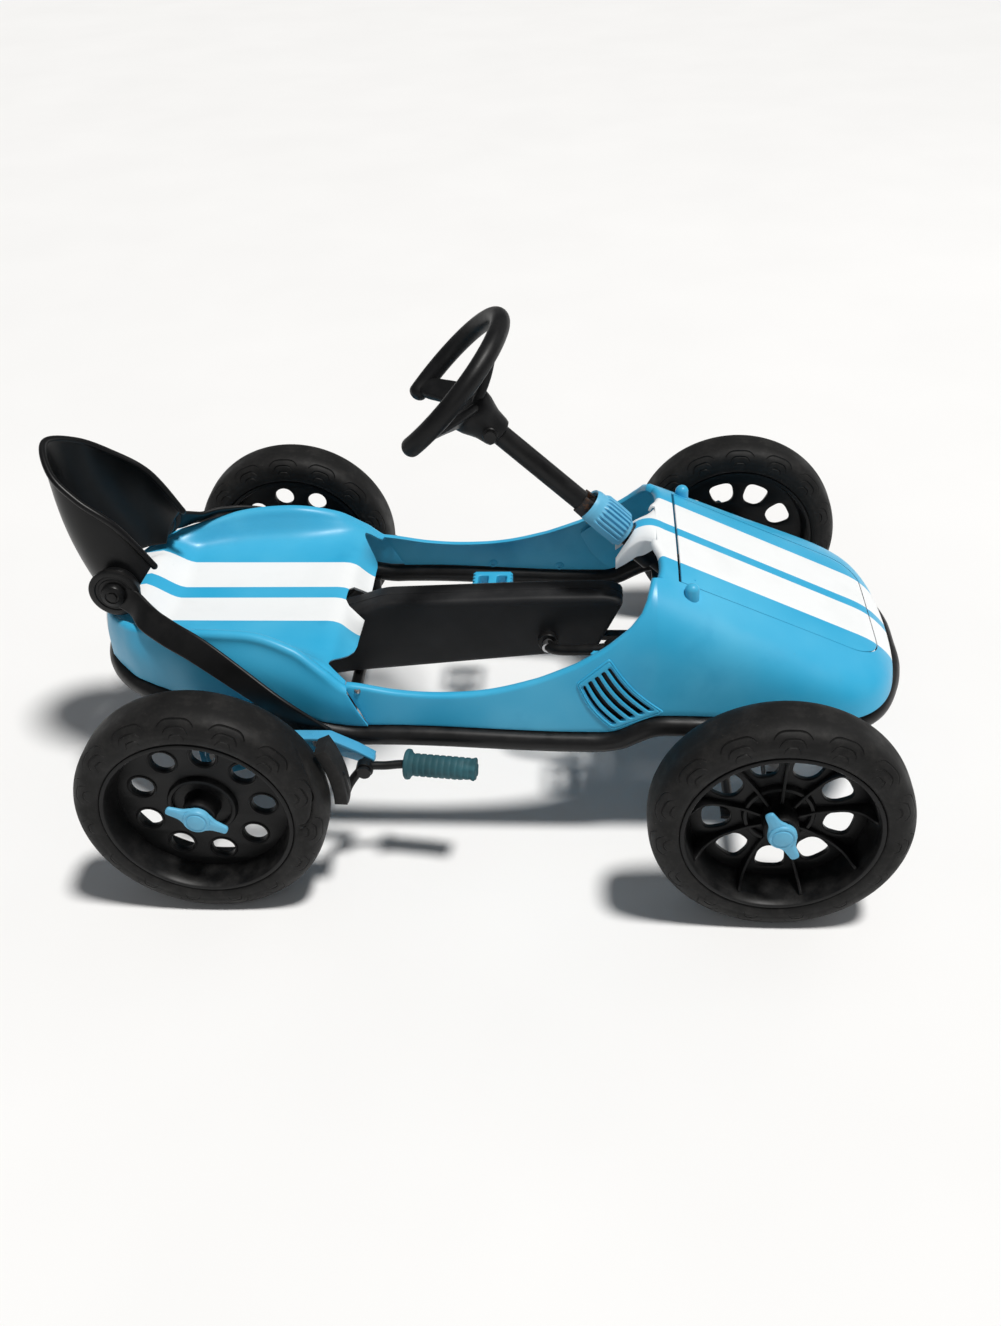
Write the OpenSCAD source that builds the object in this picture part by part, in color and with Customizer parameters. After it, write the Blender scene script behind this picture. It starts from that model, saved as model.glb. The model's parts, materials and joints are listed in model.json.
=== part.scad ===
// Pedal go-kart: a steel tube frame with a moulded racing body, chain drive to the rear axle,
// folding steering column, tilting seat back and a hand brake on the right rear tyre.
// X points forward, Y to the driver's left and Z up. The origin is on the ground, mid length.

/* [Wheels] */
// Outer radius of every tyre
tyre_r = 127; // [123:1:128]
// Width of a tyre
tyre_w = 62; // [58:1:64]
// Radius where tyre and rim meet
rim_r = 97; // [94:1:98]
// Number of openings in each rim
rim_windows = 9; // [7:1:9]
/* [Chassis] */
// Place of the rear axle
rear_axle_x = -268; // [-270:1:-266]
// Place of the front axle
front_axle_x = 302; // [300:1:304]
// Distance between the rear wheel centres
rear_track = 520; // [518:2:524]
// Distance between the front wheel centres
front_track = 546; // [544:2:550]
// Radius of the frame tube
tube_r = 11; // [10:0.5:11]
// Distance from the middle plane to a side rail's centre
rail_y = 160; // [159:0.5:160]
/* [Body] */
// Wall of the moulded panels
panel = 3; // [2.5:0.5:3]
// Height of the bonnet where its lid begins
bonnet_z = 284; // [283:1:285]
// Fall of the bonnet per millimetre forward
bonnet_slope = 0.476; // [0.47:0.002:0.48]
// Height of the flat middle of the seat
seat_z = 205; // [204:1:206]
/* [Steering] */
// Angle between the column and the vertical
column_rake = 46.6; // [46:0.1:47]
// Radius of the steering wheel's rim line
wheel_rim_r = 88; // [84:1:90]
// Length of the pitman arm
pitman_r = 33; // [32:0.5:34]
/* [Drive] */
// Length of a crank arm
crank_r = 72; // [68:1:72]
// Pitch radius of both sprockets
sprocket_r = 20; // [19:1:20]

/* [Hidden] */
$fn = 48;

left = 1;
right = -1;
axle_z = tyre_r;
axle_r = 6;
running = 0.06;

rear_wheel_y = rear_track / 2;
front_wheel_y = front_track / 2;
nose_start = 330;
nose_end = 446;
body_rear = -133;
cowl_x = 186;
body_half_w = 160;
square = 4;
tumble = 0.107;
lid_x0 = 212;
lid_x1 = 424;
lid_half_w = 91;
lid_gap = 0.7;
lid_swing = 3.8;
lid_wall = 2.4;
lid_corner = 34;
seat_tail_x = -418;
back_pivot = [-384, 0, 262];
back_pivot_y = 80;
fold = [122, 0, 310.4];
pitman_drop = 221;
column_foot = 233;
kingpin_y = 222;
steer_arm = 42;
steer_arm_z = 100;
crank = [72, 0, 162];
crank_angle = 8;
case_half_w = 20;
case_wall = 2.5;
brake_pivot = [-112, -196, 126];

// --- plain geometry helpers ---

function unit(v) = v / norm(v);
function mix(a, b, t) = a + (b - a) * t;
function ease(t) = let (u = max(0, min(1, t))) u * u * (3 - 2 * u);
function catmull(p, t) =
  0.5 * (2 * p[1] + (p[2] - p[0]) * t + (2 * p[0] - 5 * p[1] + 4 * p[2] - p[3]) * t * t
  + (3 * p[1] - p[0] - 3 * p[2] + p[3]) * t * t * t);
function pick(p, i) = p[max(0, min(len(p) - 1, i))];
function smooth_path(p, steps) = concat(
  [for (i = [0 : len(p) - 2]) for (s = [0 : steps - 1])
    catmull([pick(p, i - 1), p[i], p[i + 1], pick(p, i + 2)], s / steps)],
  [p[len(p) - 1]]);
function heading(p, i) = unit(pick(p, i + 1) - pick(p, i - 1));
function disc(r, n) = [for (i = [0 : n - 1]) r * [cos(360 * i / n), sin(360 * i / n)]];
function bar(w, h) = [[-w, -h] / 2, [w, -h] / 2, [w, h] / 2, [-w, h] / 2];
function ring_at(p, i, profile, up) =
  let (t = heading(p, i), side = unit(cross(t, up)), top = cross(side, t))
  [for (q = profile) p[i] + q[0] * side + q[1] * top];
function mirror_y(p) = [for (q = p) [q[0], -q[1], q[2]]];
function flip(p) = [for (i = [len(p) - 1 : -1 : 0]) p[i]];
// A value read from [x, value] pairs, with a smooth curve between them
function along(table, x) =
  let (n = len(table), i = max([0, for (k = [0 : n - 2]) table[k][0] <= x ? k : 0]),
    t = (x - table[i][0]) / (table[i + 1][0] - table[i][0]))
  catmull([pick(table, i - 1)[1], table[i][1], table[i + 1][1], pick(table, i + 2)[1]],
    max(0, min(1, t)));

module skin(rings) {
  n = len(rings[0]);
  m = len(rings);
  polyhedron(
    points = [for (r = rings) for (p = r) p],
    faces = concat(
      [[for (k = [0 : n - 1]) n - 1 - k]],
      [for (i = [0 : m - 2]) for (k = [0 : n - 1])
        each let (a = i * n + k, b = i * n + (k + 1) % n)
          [[a, b, b + n], [a, b + n, a + n]]],
      [[for (k = [0 : n - 1]) (m - 1) * n + k]]),
    convexity = 10);
}
module sweep(path, profile, up = [0, 0, 1]) {
  skin([for (i = [0 : len(path) - 1]) ring_at(path, i, profile, up)]);
}
// Joins smooth lofts into one closed mesh
module moulded() { resize([0, 0, 0]) children(); }
module across(p, r, y0, y1) {
  translate([p[0], y0, p[2]]) rotate([-90, 0, 0]) cylinder(r = r, h = y1 - y0);
}
module upright(x, y, r, z0, z1) { translate([x, y, z0]) cylinder(r = r, h = z1 - z0); }
module for_side(s) { mirror([0, s == right ? 1 : 0, 0]) children(); }
// The column's own frame: Z runs up the column from the fold
module on_column() { translate(fold) rotate([0, -column_rake, 0]) children(); }

// --- frame ---

function sill_z(x) = 146 - 8 * ease((x + 90) / 200) + 22 * ease((x - 135) / 58)
  - 10 * ease((x - 200) / 240);
function rail_z(x) = x > -130 ? sill_z(x) - 13 : 133 + 25 * ease((-130 - x) / 100);
nose_corner = [[332, rail_y], [366, 153], [396, 138], [420, 115], [437, 78], [446, 40]];
tail_corner = [[-250, 153], [-300, 142], [-345, 123], [-380, 98], [-403, 68], [-416, 34]];
function at_rail_height(p) = [for (q = p) [q[0], q[1], rail_z(q[0])]];

module frame_nose_hoop() {
  half = at_rail_height(nose_corner);
  color("#1c1c1e")
    sweep(smooth_path(concat(half, [[447, 0, rail_z(447)]], flip(mirror_y(half))), 3),
      disc(tube_r, 12));
}
module frame_rail(s) {
  corner = [for (q = [tail_corner[0]]) [q[0], q[1], rail_z(q[0])]];
  path = smooth_path(concat(corner, [[-210, 157.5, rail_z(-210)], [-165, 159.6, rail_z(-165)]],
    [for (x = [-130 : 20 : 130]) [x, rail_y, rail_z(x)]],
    [for (x = [150 : 15 : 225]) [x, rail_y, rail_z(x)]],
    [[280, rail_y, rail_z(280)], [332, rail_y, rail_z(332)]]), 2);
  color("#1c1c1e") for_side(s) sweep(path, disc(tube_r, 12));
}
module frame_rail_left() { frame_rail(left); }
module frame_rail_right() { frame_rail(right); }
module frame_tail_hoop() {
  half = at_rail_height(tail_corner);
  color("#1c1c1e")
    sweep(smooth_path(concat(half, [[-419, 0, rail_z(-419)]], flip(mirror_y(half))), 3),
      disc(tube_r, 12));
}
module crossmember_front() {
  color("#1c1c1e") {
    across([200, 0, rail_z(200)], 8, -149, 149);
    translate([120, -6, 146]) cube([74, 12, 6]);
  }
}
module crossmember_middle() {
  half = [[-150, 148.5, 132], [-150, 142, 114], [-150, 126, 102], [-150, 100, 100]];
  color("#1c1c1e")
    sweep(smooth_path(concat(half, flip(mirror_y(half))), 4), disc(7, 12), [1, 0, 0]);
}
module crossmember_rear() { color("#1c1c1e") across([-345, 0, 158], 7, -112, 112); }

beam_z = 119;
module front_axle_beam() {
  color("#1c1c1e") {
    across([front_axle_x, 0, beam_z], 9, -kingpin_y + 9, kingpin_y - 9);
    for (y = [-kingpin_y, kingpin_y]) difference() {
      upright(front_axle_x, y, 11, 104, 150);
      upright(front_axle_x, y, 5, 100, 160);
    }
    for (y = [-rail_y, rail_y]) translate([front_axle_x - 9, y - 5, beam_z]) cube([18, 10, 14.5]);
    difference() {
      union() {
        on_column() translate([0, 0, -column_foot - 14]) cylinder(r = 13, h = 20);
        translate([front_axle_x - 10, -9, beam_z]) cube([20, 18, 24]);
      }
      on_column() translate([0, 0, -column_foot - 0.3]) cylinder(r = 8 + running, h = 40);
    }
  }
}

bracket_y = 184;
module rear_bracket(s) {
  outline = [[-292, 158], [-148, 158], [-120, 142], [-103, 130], [-104, 119], [-114, 116],
    [-150, 130], [-215, 128], [-246, 106], [-268, 100], [-290, 108]];
  flange = [[-292, 154], [-149, 154], [-121, 138], [-104, 127], [-103, 130], [-120, 142],
    [-148, 158], [-292, 158]];
  color("#5cc3ea") for_side(s) difference() {
    union() {
      translate([0, bracket_y + 4, 0]) rotate([90, 0, 0]) linear_extrude(4) polygon(outline);
      translate([0, bracket_y + 14, 0]) rotate([90, 0, 0]) linear_extrude(14) polygon(flange);
      across([rear_axle_x, 0, axle_z], 16, bracket_y - 6, bracket_y + 6);
      translate([-242, 160, 151]) cube([16, bracket_y - 159, 6]);
    }
    across([rear_axle_x, 0, axle_z], 11, bracket_y - 8, bracket_y + 8);
    across(brake_pivot, 4, bracket_y - 2, bracket_y + 20);
    across([-160, 0, 146], 4 + running, bracket_y - 2, bracket_y + 10);
  }
}
module rear_bracket_left() { rear_bracket(left); }
module rear_bracket_right() { rear_bracket(right); }

// --- body ---

function plan(x) = x <= nose_start ? 1 :
  pow(max(0.01, 1 - pow((x - nose_start) / (nose_end - nose_start), 3)), 1 / 3);
function bonnet_line(x) = bonnet_z - bonnet_slope * (max(x, cowl_x) - lid_x0)
  - 15 * pow(max(0, (x - 402) / 44), 2.5);
function body_ring(x, inset, drop) =
  let (w = body_half_w * plan(x) - inset, h = bonnet_line(x) - sill_z(x) - inset)
  concat([[x, -w, sill_z(x) - drop]],
    [for (k = [0 : 20]) let (a = 180 * k / 20, c = -cos(a), s = max(0, sin(a)))
      [x, w * sign(c) * pow(abs(c), 2 / square) * (1 - tumble * pow(s, 2 / square)),
        sill_z(x) + h * pow(s, 2 / square)]],
    [[x, w, sill_z(x) - drop]]);
function stations(from, to) = concat([from], [for (x = [-100, -40, 30, 90, 130, 150, 170, 186, 200, 260,
  310, 332, 350, 366, 382, 396, 408, 418, 427, 434, 440]) if (x > from + 4) x], [to]);
// Height of the bonnet's outer face over a point
function bonnet_z_at(x, y) = let (w = body_half_w * plan(x),
  guess = pow(max(0.01, 1 - pow(abs(y) / (w * (1 - tumble)), square)), 1 / square),
  u = pow(max(0.01, 1 - pow(abs(y) / (w * (1 - tumble * guess)), square)), 1 / square))
  sill_z(x) + (bonnet_line(x) - sill_z(x)) * u;
module body_block(inset, from, to, drop) {
  skin([for (x = stations(from, to)) body_ring(x, inset, drop)]);
}
rim_line = [[-133, 189], [-83, 180], [-33, 177], [17, 181], [67, 194], [107, 211], [137, 229],
  [162, 250], [177, 268], [cowl_x, 288]];
module cockpit_opening() {
  edge = [for (x = [body_rear - 4, each [for (i = [-130 : 10 : cowl_x]) i], cowl_x])
    [x, along(rim_line, x)]];
  translate([0, 200, 0]) rotate([90, 0, 0])
    linear_extrude(400) polygon(concat(edge, [[cowl_x, 340], [body_rear - 4, 340]]));
}
function lid_half(x, grow) = lid_half_w + grow
  - lid_corner * (1 - sqrt(max(0, 1 - pow(max(0, x - lid_x1 + lid_corner) / (lid_corner + grow), 2))));
module lid_outline(grow) {
  xs = concat([lid_x0 - (grow > 0 ? lid_swing : 0)], [for (k = [0 : 9]) lid_x1 - lid_corner
    + (lid_corner + grow) * sin(9.6 * k)]);
  side = [for (x = xs) [x, lid_half(x, grow)]];
  translate([0, 0, 130]) linear_extrude(190)
    polygon(concat(side, [for (i = [len(side) - 1 : -1 : 0]) [side[i][0], -side[i][1]]]));
}
// Cowl's hood over the column: X, height of its crown, half width, fall to its edge, depth of its skirt
hood = [[146, 260, 20, 2, 8], [153, 273, 21.5, 3, 15], [159, 283, 22, 4.5, 19], [164, 290, 22, 6.5, 20],
  [169, 294, 22, 7, 20], [175, 296.3, 23.5, 7, 20], [182, 296.9, 28.5, 6.5, 18],
  [189, 294.6, 37, 3.5, 9], [196, 290.8, 47, 1, 5]];
hood_wall = 3;
function hood_arch(q, wall) = [for (k = [-4 : 4]) let (f = k / 4)
  [q[0], f * (q[2] - wall), q[1] - wall - q[3] * f * f]];
module cowl_tongue() {
  slot = 13;
  difference() {
    skin([for (q = hood) let (foot = q[1] - q[3] - q[4]) concat(
      [[q[0], -q[2], foot]], hood_arch(q, 0), [[q[0], q[2], foot]],
      [[q[0], q[2] - hood_wall, foot]], flip(hood_arch(q, hood_wall)), [[q[0], hood_wall - q[2], foot]])]);
    translate([140, -slot, 230]) cube([15, 2 * slot, 90]);
    translate([155, 0, 230]) cylinder(r = slot, h = 90, $fn = 32);
  }
}
module cowl_notches() {
  for (s = [-1, 1]) hull() for (y = [60, 82])
    translate([185.5, s * y, 268]) cylinder(r = 9.5, h = 40, $fn = 32);
}
module louvres(s) {
  for_side(s) for (k = [-2 : 2]) translate([147 + 9.2 * k, 0, 182 + 5.2 * k])
    rotate([0, -39, 0]) translate([-2.7, 100, -31]) cube([5.4, 80, 62]);
}
module body_front() {
  color("#3fa9d8") moulded() {
    difference() {
      body_block(0, body_rear, nose_end, 0);
      body_block(panel, body_rear - 6, nose_end - panel, 8);
      cockpit_opening();
      cowl_notches();
      lid_outline(lid_gap);
      louvres(left);
      louvres(right);
    }
    for (s = [-1, 1]) sweep([for (x = [230 : 42 : 398]) [x, s * (lid_half(x, 0) + 1),
      bonnet_z_at(x, lid_half(x, 0)) - 4.4]], bar(12, 3));
    cowl_tongue();
  }
}
module bonnet_lid() {
  xs = concat([lid_x0, 222, 250, 280, 310, 340, 366],
    [for (k = [0 : 8]) lid_x1 - lid_corner + lid_corner * sin(10.5 * k)]);
  lines = 8;
  function face(x, drop) = [for (k = [-lines : lines]) let (y = lid_half(x, 0) * k / lines)
    [x, y, bonnet_z_at(x, y) - drop]];
  color("#3fa9d8") skin([for (x = xs) concat(face(x, 0), flip(face(x, lid_wall)))]);
}
hinge = [222, 0, 263];
module lid_hinge_pins() {
  color("#3fa9d8") for (s = [-1, 1]) {
    across(hinge, 2.5, min(s * 72, s * 99), max(s * 72, s * 99));
    hull() for (z = [1, 13]) translate([hinge[0], s * 103, hinge[2] + z]) sphere(7.5, $fn = 24);
  }
}
module lid_hinge_eyes() {
  color("#3fa9d8") for (s = [-1, 1]) difference() {
    union() {
      translate([hinge[0] - 5, s * 78 - 4, hinge[2]]) cube([10, 8, 11.5]);
      across(hinge, 5, s * 78 - 4, s * 78 + 4);
    }
    across(hinge, 2.5 + running, s * 78 - 6, s * 78 + 6);
  }
}

// Seat: half width and height of its raised edge, and of the skirt's foot, along X
edge_y = [[-424, 12], [-418, 34], [-408, 58], [-394, 80], [-370, 102], [-343, 114], [-303, 128],
  [-263, 134], [-223, 138], [-183, 146], [-153, 154], [body_rear, 157]];
edge_z = [[-424, 203], [-418, 207], [-408, 211], [-394, 216], [-370, 226], [-343, 232],
  [-303, 238], [-263, 239], [-223, 236], [-183, 222], [-153, 202], [body_rear, 188]];
foot_y = [[-424, 22], [-418, 44], [-408, 66], [-394, 84], [-370, 108], [-343, 124], [-303, 142],
  [-263, 150], [-223, 155], [-183, 158], [-153, 160], [body_rear, 160]];
function foot_z(x) = rail_z(x) + 13;
function pan_z(x) = seat_z - 12 * ease((x + 165) / 35) + 18 * ease((-330 - x) / 60);
// Half section of the seat's outside, smaller by t
function seat_out(x, t) =
  let (ey = along(edge_y, x), ez = along(edge_z, x), fy = along(foot_y, x), fz = foot_z(x))
  [[fy - t, fz - (t > 0 ? 6 : 0)], [fy - t, fz], [mix(fy, ey, 0.35) + 1.5 - t, mix(fz, ez, 0.5)],
   [ey + 1 - t, mix(fz, ez, 0.85)], [ey - 1.5 - t, ez - 2 - t], [ey * 0.94 - 2 - t, ez - t],
   [ey * 0.5, ez - t]];
// Half section of the hollow the child sits in, larger by t
function seat_in(x, t) =
  let (ey = along(edge_y, x) - 8 + t, ez = along(edge_z, x), pz = min(ez - 3, pan_z(x)) - t)
  [[ey + 4, ez + 8 + t], [ey + 1.5, ez - 0.5], [ey - 3, mix(ez, pz, 0.3)], [ey - 12, mix(ez, pz, 0.7)],
   [ey - 26, mix(ez, pz, 0.95)], [ey * 0.66, pz], [ey * 0.33, pz]];
function both_sides(x, half) = concat([for (q = half) [x, -q[0], q[1]]],
  [for (i = [len(half) - 1 : -1 : 0]) [x, half[i][0], half[i][1]]]);
module seat_front_edge() {
  for (s = [-1, 1]) translate([0, 0, 150]) linear_extrude(90)
    polygon([[-152, s * 134], [-140, s * 120], [-132, s * 100], [-120, s * 100], [-120, s * 140],
      [-148, s * 139]]);
  translate([-150, -22, 150]) cube([40, 44, 90]);
}
module body_seat() {
  tail = [-424, -422, -419, -415, -410, -403, -395, -385, -372];
  middle = [for (i = [-355 : 17 : -149]) i];
  pan = [-396, -393, -388, -380, -370, each middle];
  color("#3fa9d8") moulded() difference() {
    skin([for (x = [each tail, each middle, body_rear - 0.4]) both_sides(x, seat_out(x, 0))]);
    difference() {
      skin([for (x = [-421, -418, -412, -403, -393, -380, each middle, body_rear + 6])
        both_sides(x, seat_out(x, panel))]);
      skin([for (x = [-399, each pan, body_rear + 8]) both_sides(x, flip(seat_in(x, panel)))]);
    }
    skin([for (x = [each pan, body_rear + 4]) both_sides(x, flip(seat_in(x, 0)))]);
    seat_front_edge();
  }
}
body_screw_places = [[-2, 148], [80, 144]];
module body_screws() {
  color("#2a2a2c") for (s = [-1, 1]) {
    for (p = body_screw_places) across([p[0], 0, p[1]], 4, min(s * 152, s * 158.5), max(s * 152, s * 158.5));
    upright(-120, s * 156, 3.5, 170, 189.5);
  }
}

// --- seat back and its arms ---

back_rim = [[-349, 57, 289], [-377, 62, 331], [-413, 57, 358], [-442, 40, 381], [-458, 0, 398]];
back_foot = [[-362, 66, 240], [-391, 66, 238], [-409, 52, 237], [-420, 28, 236], [-425, 0, 236]];
function whole(p) = concat(p, flip(mirror_y([for (i = [0 : len(p) - 2]) p[i]])));
module seat_back() {
  rim = smooth_path(whole(back_rim), 4);
  foot = smooth_path(whole(back_foot), 4);
  rows = 6;
  axis_x = -330;
  function sheet(i, j, t) =
    let (v = j / rows, p = mix(foot[i], rim[i], v), bulge = 9 * sin(180 * v),
      out = unit([p[0] - axis_x, p[1] * 0.9, 0]))
    p + (bulge - t) * out;
  color("#202124") difference() {
    union() {
      moulded() skin([for (i = [0 : len(rim) - 1]) concat(
        [for (j = [0 : rows]) sheet(i, j, 0)],
        [for (j = [rows : -1 : 0]) sheet(i, j, 5)])]);
      for (s = [-1, 1]) across(back_pivot, 24, min(s * 60, s * 79.7), max(s * 60, s * 79.7));
    }
    across(back_pivot, 6 + running, -90, 90);
  }
}
// Each point of an arm's middle line, and how far its upper edge leans inwards there
arm_path = [[-384, 83.5, 262], [-364, 88, 252], [-345, 107, 244], [-318, 127.5, 239.5],
  [-280, 145, 226], [-205, 171, 180], [-160, 178, 146]];
arm_lean = [0, 0.4, 1.15, 0.95, 0.5, 0, 0];
module seat_arm(s) {
  color("#19191b") for_side(s) difference() {
    union() {
      skin([for (i = [0 : len(arm_path) - 1])
        ring_at(arm_path, i, bar(5, 28), unit([0, -arm_lean[i], 1]))]);
      across(back_pivot, 28, back_pivot_y, back_pivot_y + 6);
      across([-160, 0, 146], 14, 175.5, 180.5);
    }
    across(back_pivot, 6 + running, 60, 100);
    across([-160, 0, 146], 4 + running, 150, 190);
  }
}
module seat_arm_left() { seat_arm(left); }
module seat_arm_right() { seat_arm(right); }
module seat_pivot_bolts() {
  color("#161617") for (s = [-1, 1]) {
    across(back_pivot, 6, min(s * 56, s * 86.2), max(s * 56, s * 86.2));
    across(back_pivot, 13, min(s * 86.2, s * 94), max(s * 86.2, s * 94));
    across([-160, 0, 146], 4, min(s * 164, s * 190), max(s * 164, s * 190));
    across([-160, 0, 146], 7, min(s * 188.2, s * 193), max(s * 188.2, s * 193));
  }
}

// --- steering ---

rim_h = 208;
hub_h = 168;
open_half = 60;
// How far the wheel sits off straight on its column
wheel_turn = 6;
function rim_point(a, r) = [r * cos(a), r * sin(a), rim_h];
module spoke(from, to, w0, w1) {
  skin([for (k = [0 : 4]) let (t = k / 4, c = mix(from, to, t), w = mix(w0, w1, t),
    d = unit(to - from), side = unit(cross(d, [0, 0, 1])), top = cross(side, d))
    [for (q = bar(2 * w, 7)) c + q[0] * side + q[1] * top]]);
}
module steering_wheel() {
  reach = 180 - open_half;
  color("#232325") on_column() difference() {
    rotate([0, 0, wheel_turn]) moulded() {
      sweep([for (a = [-reach : 7.5 : reach]) rim_point(a, wheel_rim_r)], disc(10, 12));
      for (s = [-1, 1]) spoke(rim_point(s * (reach - 4), wheel_rim_r), [0, s * 6, hub_h + 3], 13, 17);
      spoke(rim_point(0, wheel_rim_r), [4, 0, hub_h + 3], 9, 17);
      translate([0, 0, 132]) cylinder(r1 = 14, r2 = 25, h = 44);
    }
    translate([0, 0, 130]) cylinder(r = 11, h = 24);
    translate([0, -30, 143]) rotate([-90, 0, 0]) cylinder(r = 3 + running, h = 60);
  }
}
module steering_wheel_screw() {
  color("#3a3a3c") on_column() {
    translate([0, -22, 143]) rotate([-90, 0, 0]) cylinder(r = 3, h = 40);
    translate([0, -24, 143]) rotate([-90, 0, 0]) cylinder(r = 6, h = 4);
  }
}
module column_upper() {
  color("#19191b") on_column() difference() {
    union() {
      translate([0, 0, 14]) cylinder(r = 11, h = 140);
      for (y = [-10.5, 6.3]) {
        translate([0, y, 0]) rotate([-90, 0, 0]) cylinder(r = 12, h = 4.2);
        translate([-10, y, 0]) cube([20, 4.2, 20]);
      }
    }
    translate([0, -20, 0]) rotate([-90, 0, 0]) cylinder(r = 4 + running, h = 40);
    translate([0, -20, 143]) rotate([-90, 0, 0]) cylinder(r = 3 + running, h = 40);
  }
}
module column_fold_pin() {
  color("#8a6a4a") on_column() translate([0, -13, 0]) rotate([-90, 0, 0]) cylinder(r = 4, h = 26);
}
latch_len = 52;
module column_latch() {
  color("#4fc0ea") on_column() translate([0, 0, -42]) {
    difference() {
      cylinder(r = 22, h = latch_len);
      translate([0, 0, 6]) cylinder(r = 17.5, h = latch_len);
      translate([0, 0, -1]) cylinder(r = 8 + running, h = 20);
      translate([-34, -30, 6]) cube([30, 60, latch_len]);
    }
    for (k = [0 : 8]) translate([0, 0, 7 + 4.4 * k]) difference() {
      cylinder(r = 24, h = 2);
      translate([0, 0, -1]) cylinder(r = 21, h = 4);
      translate([-30, -30, -1]) cube([38, 60, 4]);
    }
  }
}
module column_lower() {
  color("#19191b") on_column() difference() {
    union() {
      translate([0, 0, -column_foot]) cylinder(r = 8, h = column_foot - 16);
      translate([0, -6, 0]) rotate([-90, 0, 0]) cylinder(r = 12, h = 12);
      translate([-8, -6, -20]) cube([16, 12, 20]);
      hull() {
        translate([0, 0, -pitman_drop]) cylinder(r = 12, h = 6, $fn = 32);
        translate([-pitman_r, 0, -pitman_drop]) cylinder(r = 8, h = 6, $fn = 32);
      }
      translate([-pitman_r, 0, -pitman_drop - 12]) cylinder(r = 4, h = 14);
    }
    translate([0, -20, 0]) rotate([-90, 0, 0]) cylinder(r = 4 + running, h = 40);
  }
}
module column_bush() {
  color("#303033") on_column() difference() {
    translate([0, 0, -86]) cylinder(r = 13.5, h = 26);
    translate([0, 0, -88]) cylinder(r = 8 + running, h = 30);
  }
}
rod_z = 92;
rod_x = front_axle_x - steer_arm;
module tie_rod() {
  color("#19191b") difference() {
    union() {
      across([rod_x, 0, rod_z], 5, -207, 207);
      for (s = [-1, 1]) translate([rod_x - 9, s * kingpin_y - 16, rod_z - 2]) cube([24, 32, 4]);
      on_column() translate([-pitman_r - 12, -11, -pitman_drop - 9.5]) cube([26, 22, 5]);
      translate([rod_x - 13, -8, rod_z - 3]) cube([14, 16, 35]);
    }
    for (s = [-1, 1]) for (k = [0 : 4])
      upright(rod_x + k, s * kingpin_y, 5, rod_z - 10, rod_z + 10);
    on_column() for (k = [-1 : 5])
      translate([-pitman_r + k, 0, -pitman_drop - 20]) cylinder(r = 5.2, h = 19);
  }
}
module knuckle(s) {
  color("#6f7377") for_side(s) difference() {
    union() {
      for (z = [98, 150.4]) {
        upright(front_axle_x, kingpin_y, 11, z, z + 5.6);
        translate([front_axle_x - 11, kingpin_y, z]) cube([22, 19, 5.6]);
      }
      translate([front_axle_x - 11, kingpin_y + 13, 98]) cube([22, 6, 58]);
      across([front_axle_x, 0, axle_z], axle_r, kingpin_y + 16, front_wheel_y + 30);
      across([front_axle_x, 0, axle_z], 11, kingpin_y + 18, front_wheel_y - 24.3);
      translate([rod_x, kingpin_y - 7, 98]) cube([steer_arm, 14, 5.6]);
      upright(rod_x, kingpin_y, 4, rod_z - 6, 100);
      upright(rod_x, kingpin_y, 7, 98, 103.6);
    }
    upright(front_axle_x, kingpin_y, 5 + running, 80, 170);
  }
}
module knuckle_left() { knuckle(left); }
module knuckle_right() { knuckle(right); }
module kingpin(s) {
  upright(front_axle_x, s * kingpin_y, 5, 95, 158);
  upright(front_axle_x, s * kingpin_y, 8, 156.3, 161);
}
module kingpins() { color("#8d9196") { kingpin(left); kingpin(right); } }

// --- chain drive ---

case_top = [[-280, 166], [-235, 176], [-150, 192], [-112, 205], [60, 212], [140, 213], [157, 206]];
case_bottom = [[124, 137], [72, 134], [-150, 110], [-250, 93], [-282, 93], [-302, 108],
  [-306, 130], [-298, 154]];
module case_outline() { polygon(concat(case_top, case_bottom)); }
module chain_case(s) {
  color("#4a4b4d") for_side(s) difference() {
    translate([0, case_half_w, 0]) rotate([90, 0, 0]) linear_extrude(case_half_w) case_outline();
    translate([0, case_half_w - case_wall, 0]) rotate([90, 0, 0])
      linear_extrude(case_half_w) offset(delta = -case_wall) case_outline();
    across(crank, axle_r + running, -1, 30);
    across([rear_axle_x, 0, axle_z], axle_r + running, -1, 30);
  }
}
module chain_case_left() { chain_case(left); }
module chain_case_right() { chain_case(right); }
module turned_crank() {
  translate(crank) rotate([0, -crank_angle, 0]) translate(-crank) children();
}
module crank_axle() { color("#8d9196") across(crank, axle_r, -44, 44); }
module sprocket(centre, bore) {
  tooth_tip = sprocket_r + 0.5;
  difference() {
    translate([centre[0], 2, centre[2]]) rotate([90, 0, 0]) linear_extrude(4) difference() {
      circle(tooth_tip);
      for (k = [0 : 11]) rotate(30 * k) translate([tooth_tip + 1.2, 0]) circle(3, $fn = 24);
    }
    across(centre, bore, -5, 5);
  }
}
module crank_sprocket() { color("#8d9196") sprocket(crank, axle_r); }
module crank_arm(s) {
  reach = s * crank_r;
  color("#1c1c1e") turned_crank() difference() {
    union() {
      across(crank, 12, s > 0 ? 26 : -48, s > 0 ? 48 : -26);
      sweep(smooth_path([[72, s * 40, 162], [72 - reach * 0.3, s * 52, 162],
        [72 - reach * 0.65, s * 57, 162], [72 - reach, s * 57, 162]], 5), disc(6, 12));
      across([72 - reach, 0, 162], 10, min(s * 52, s * 62), max(s * 52, s * 62));
    }
    across(crank, axle_r, -60, 60);
    across([72 - reach, 0, 162], 5 + running, min(s * 40, s * 70), max(s * 40, s * 70));
  }
}
module crank_arm_left() { crank_arm(left); }
module crank_arm_right() { crank_arm(right); }
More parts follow.
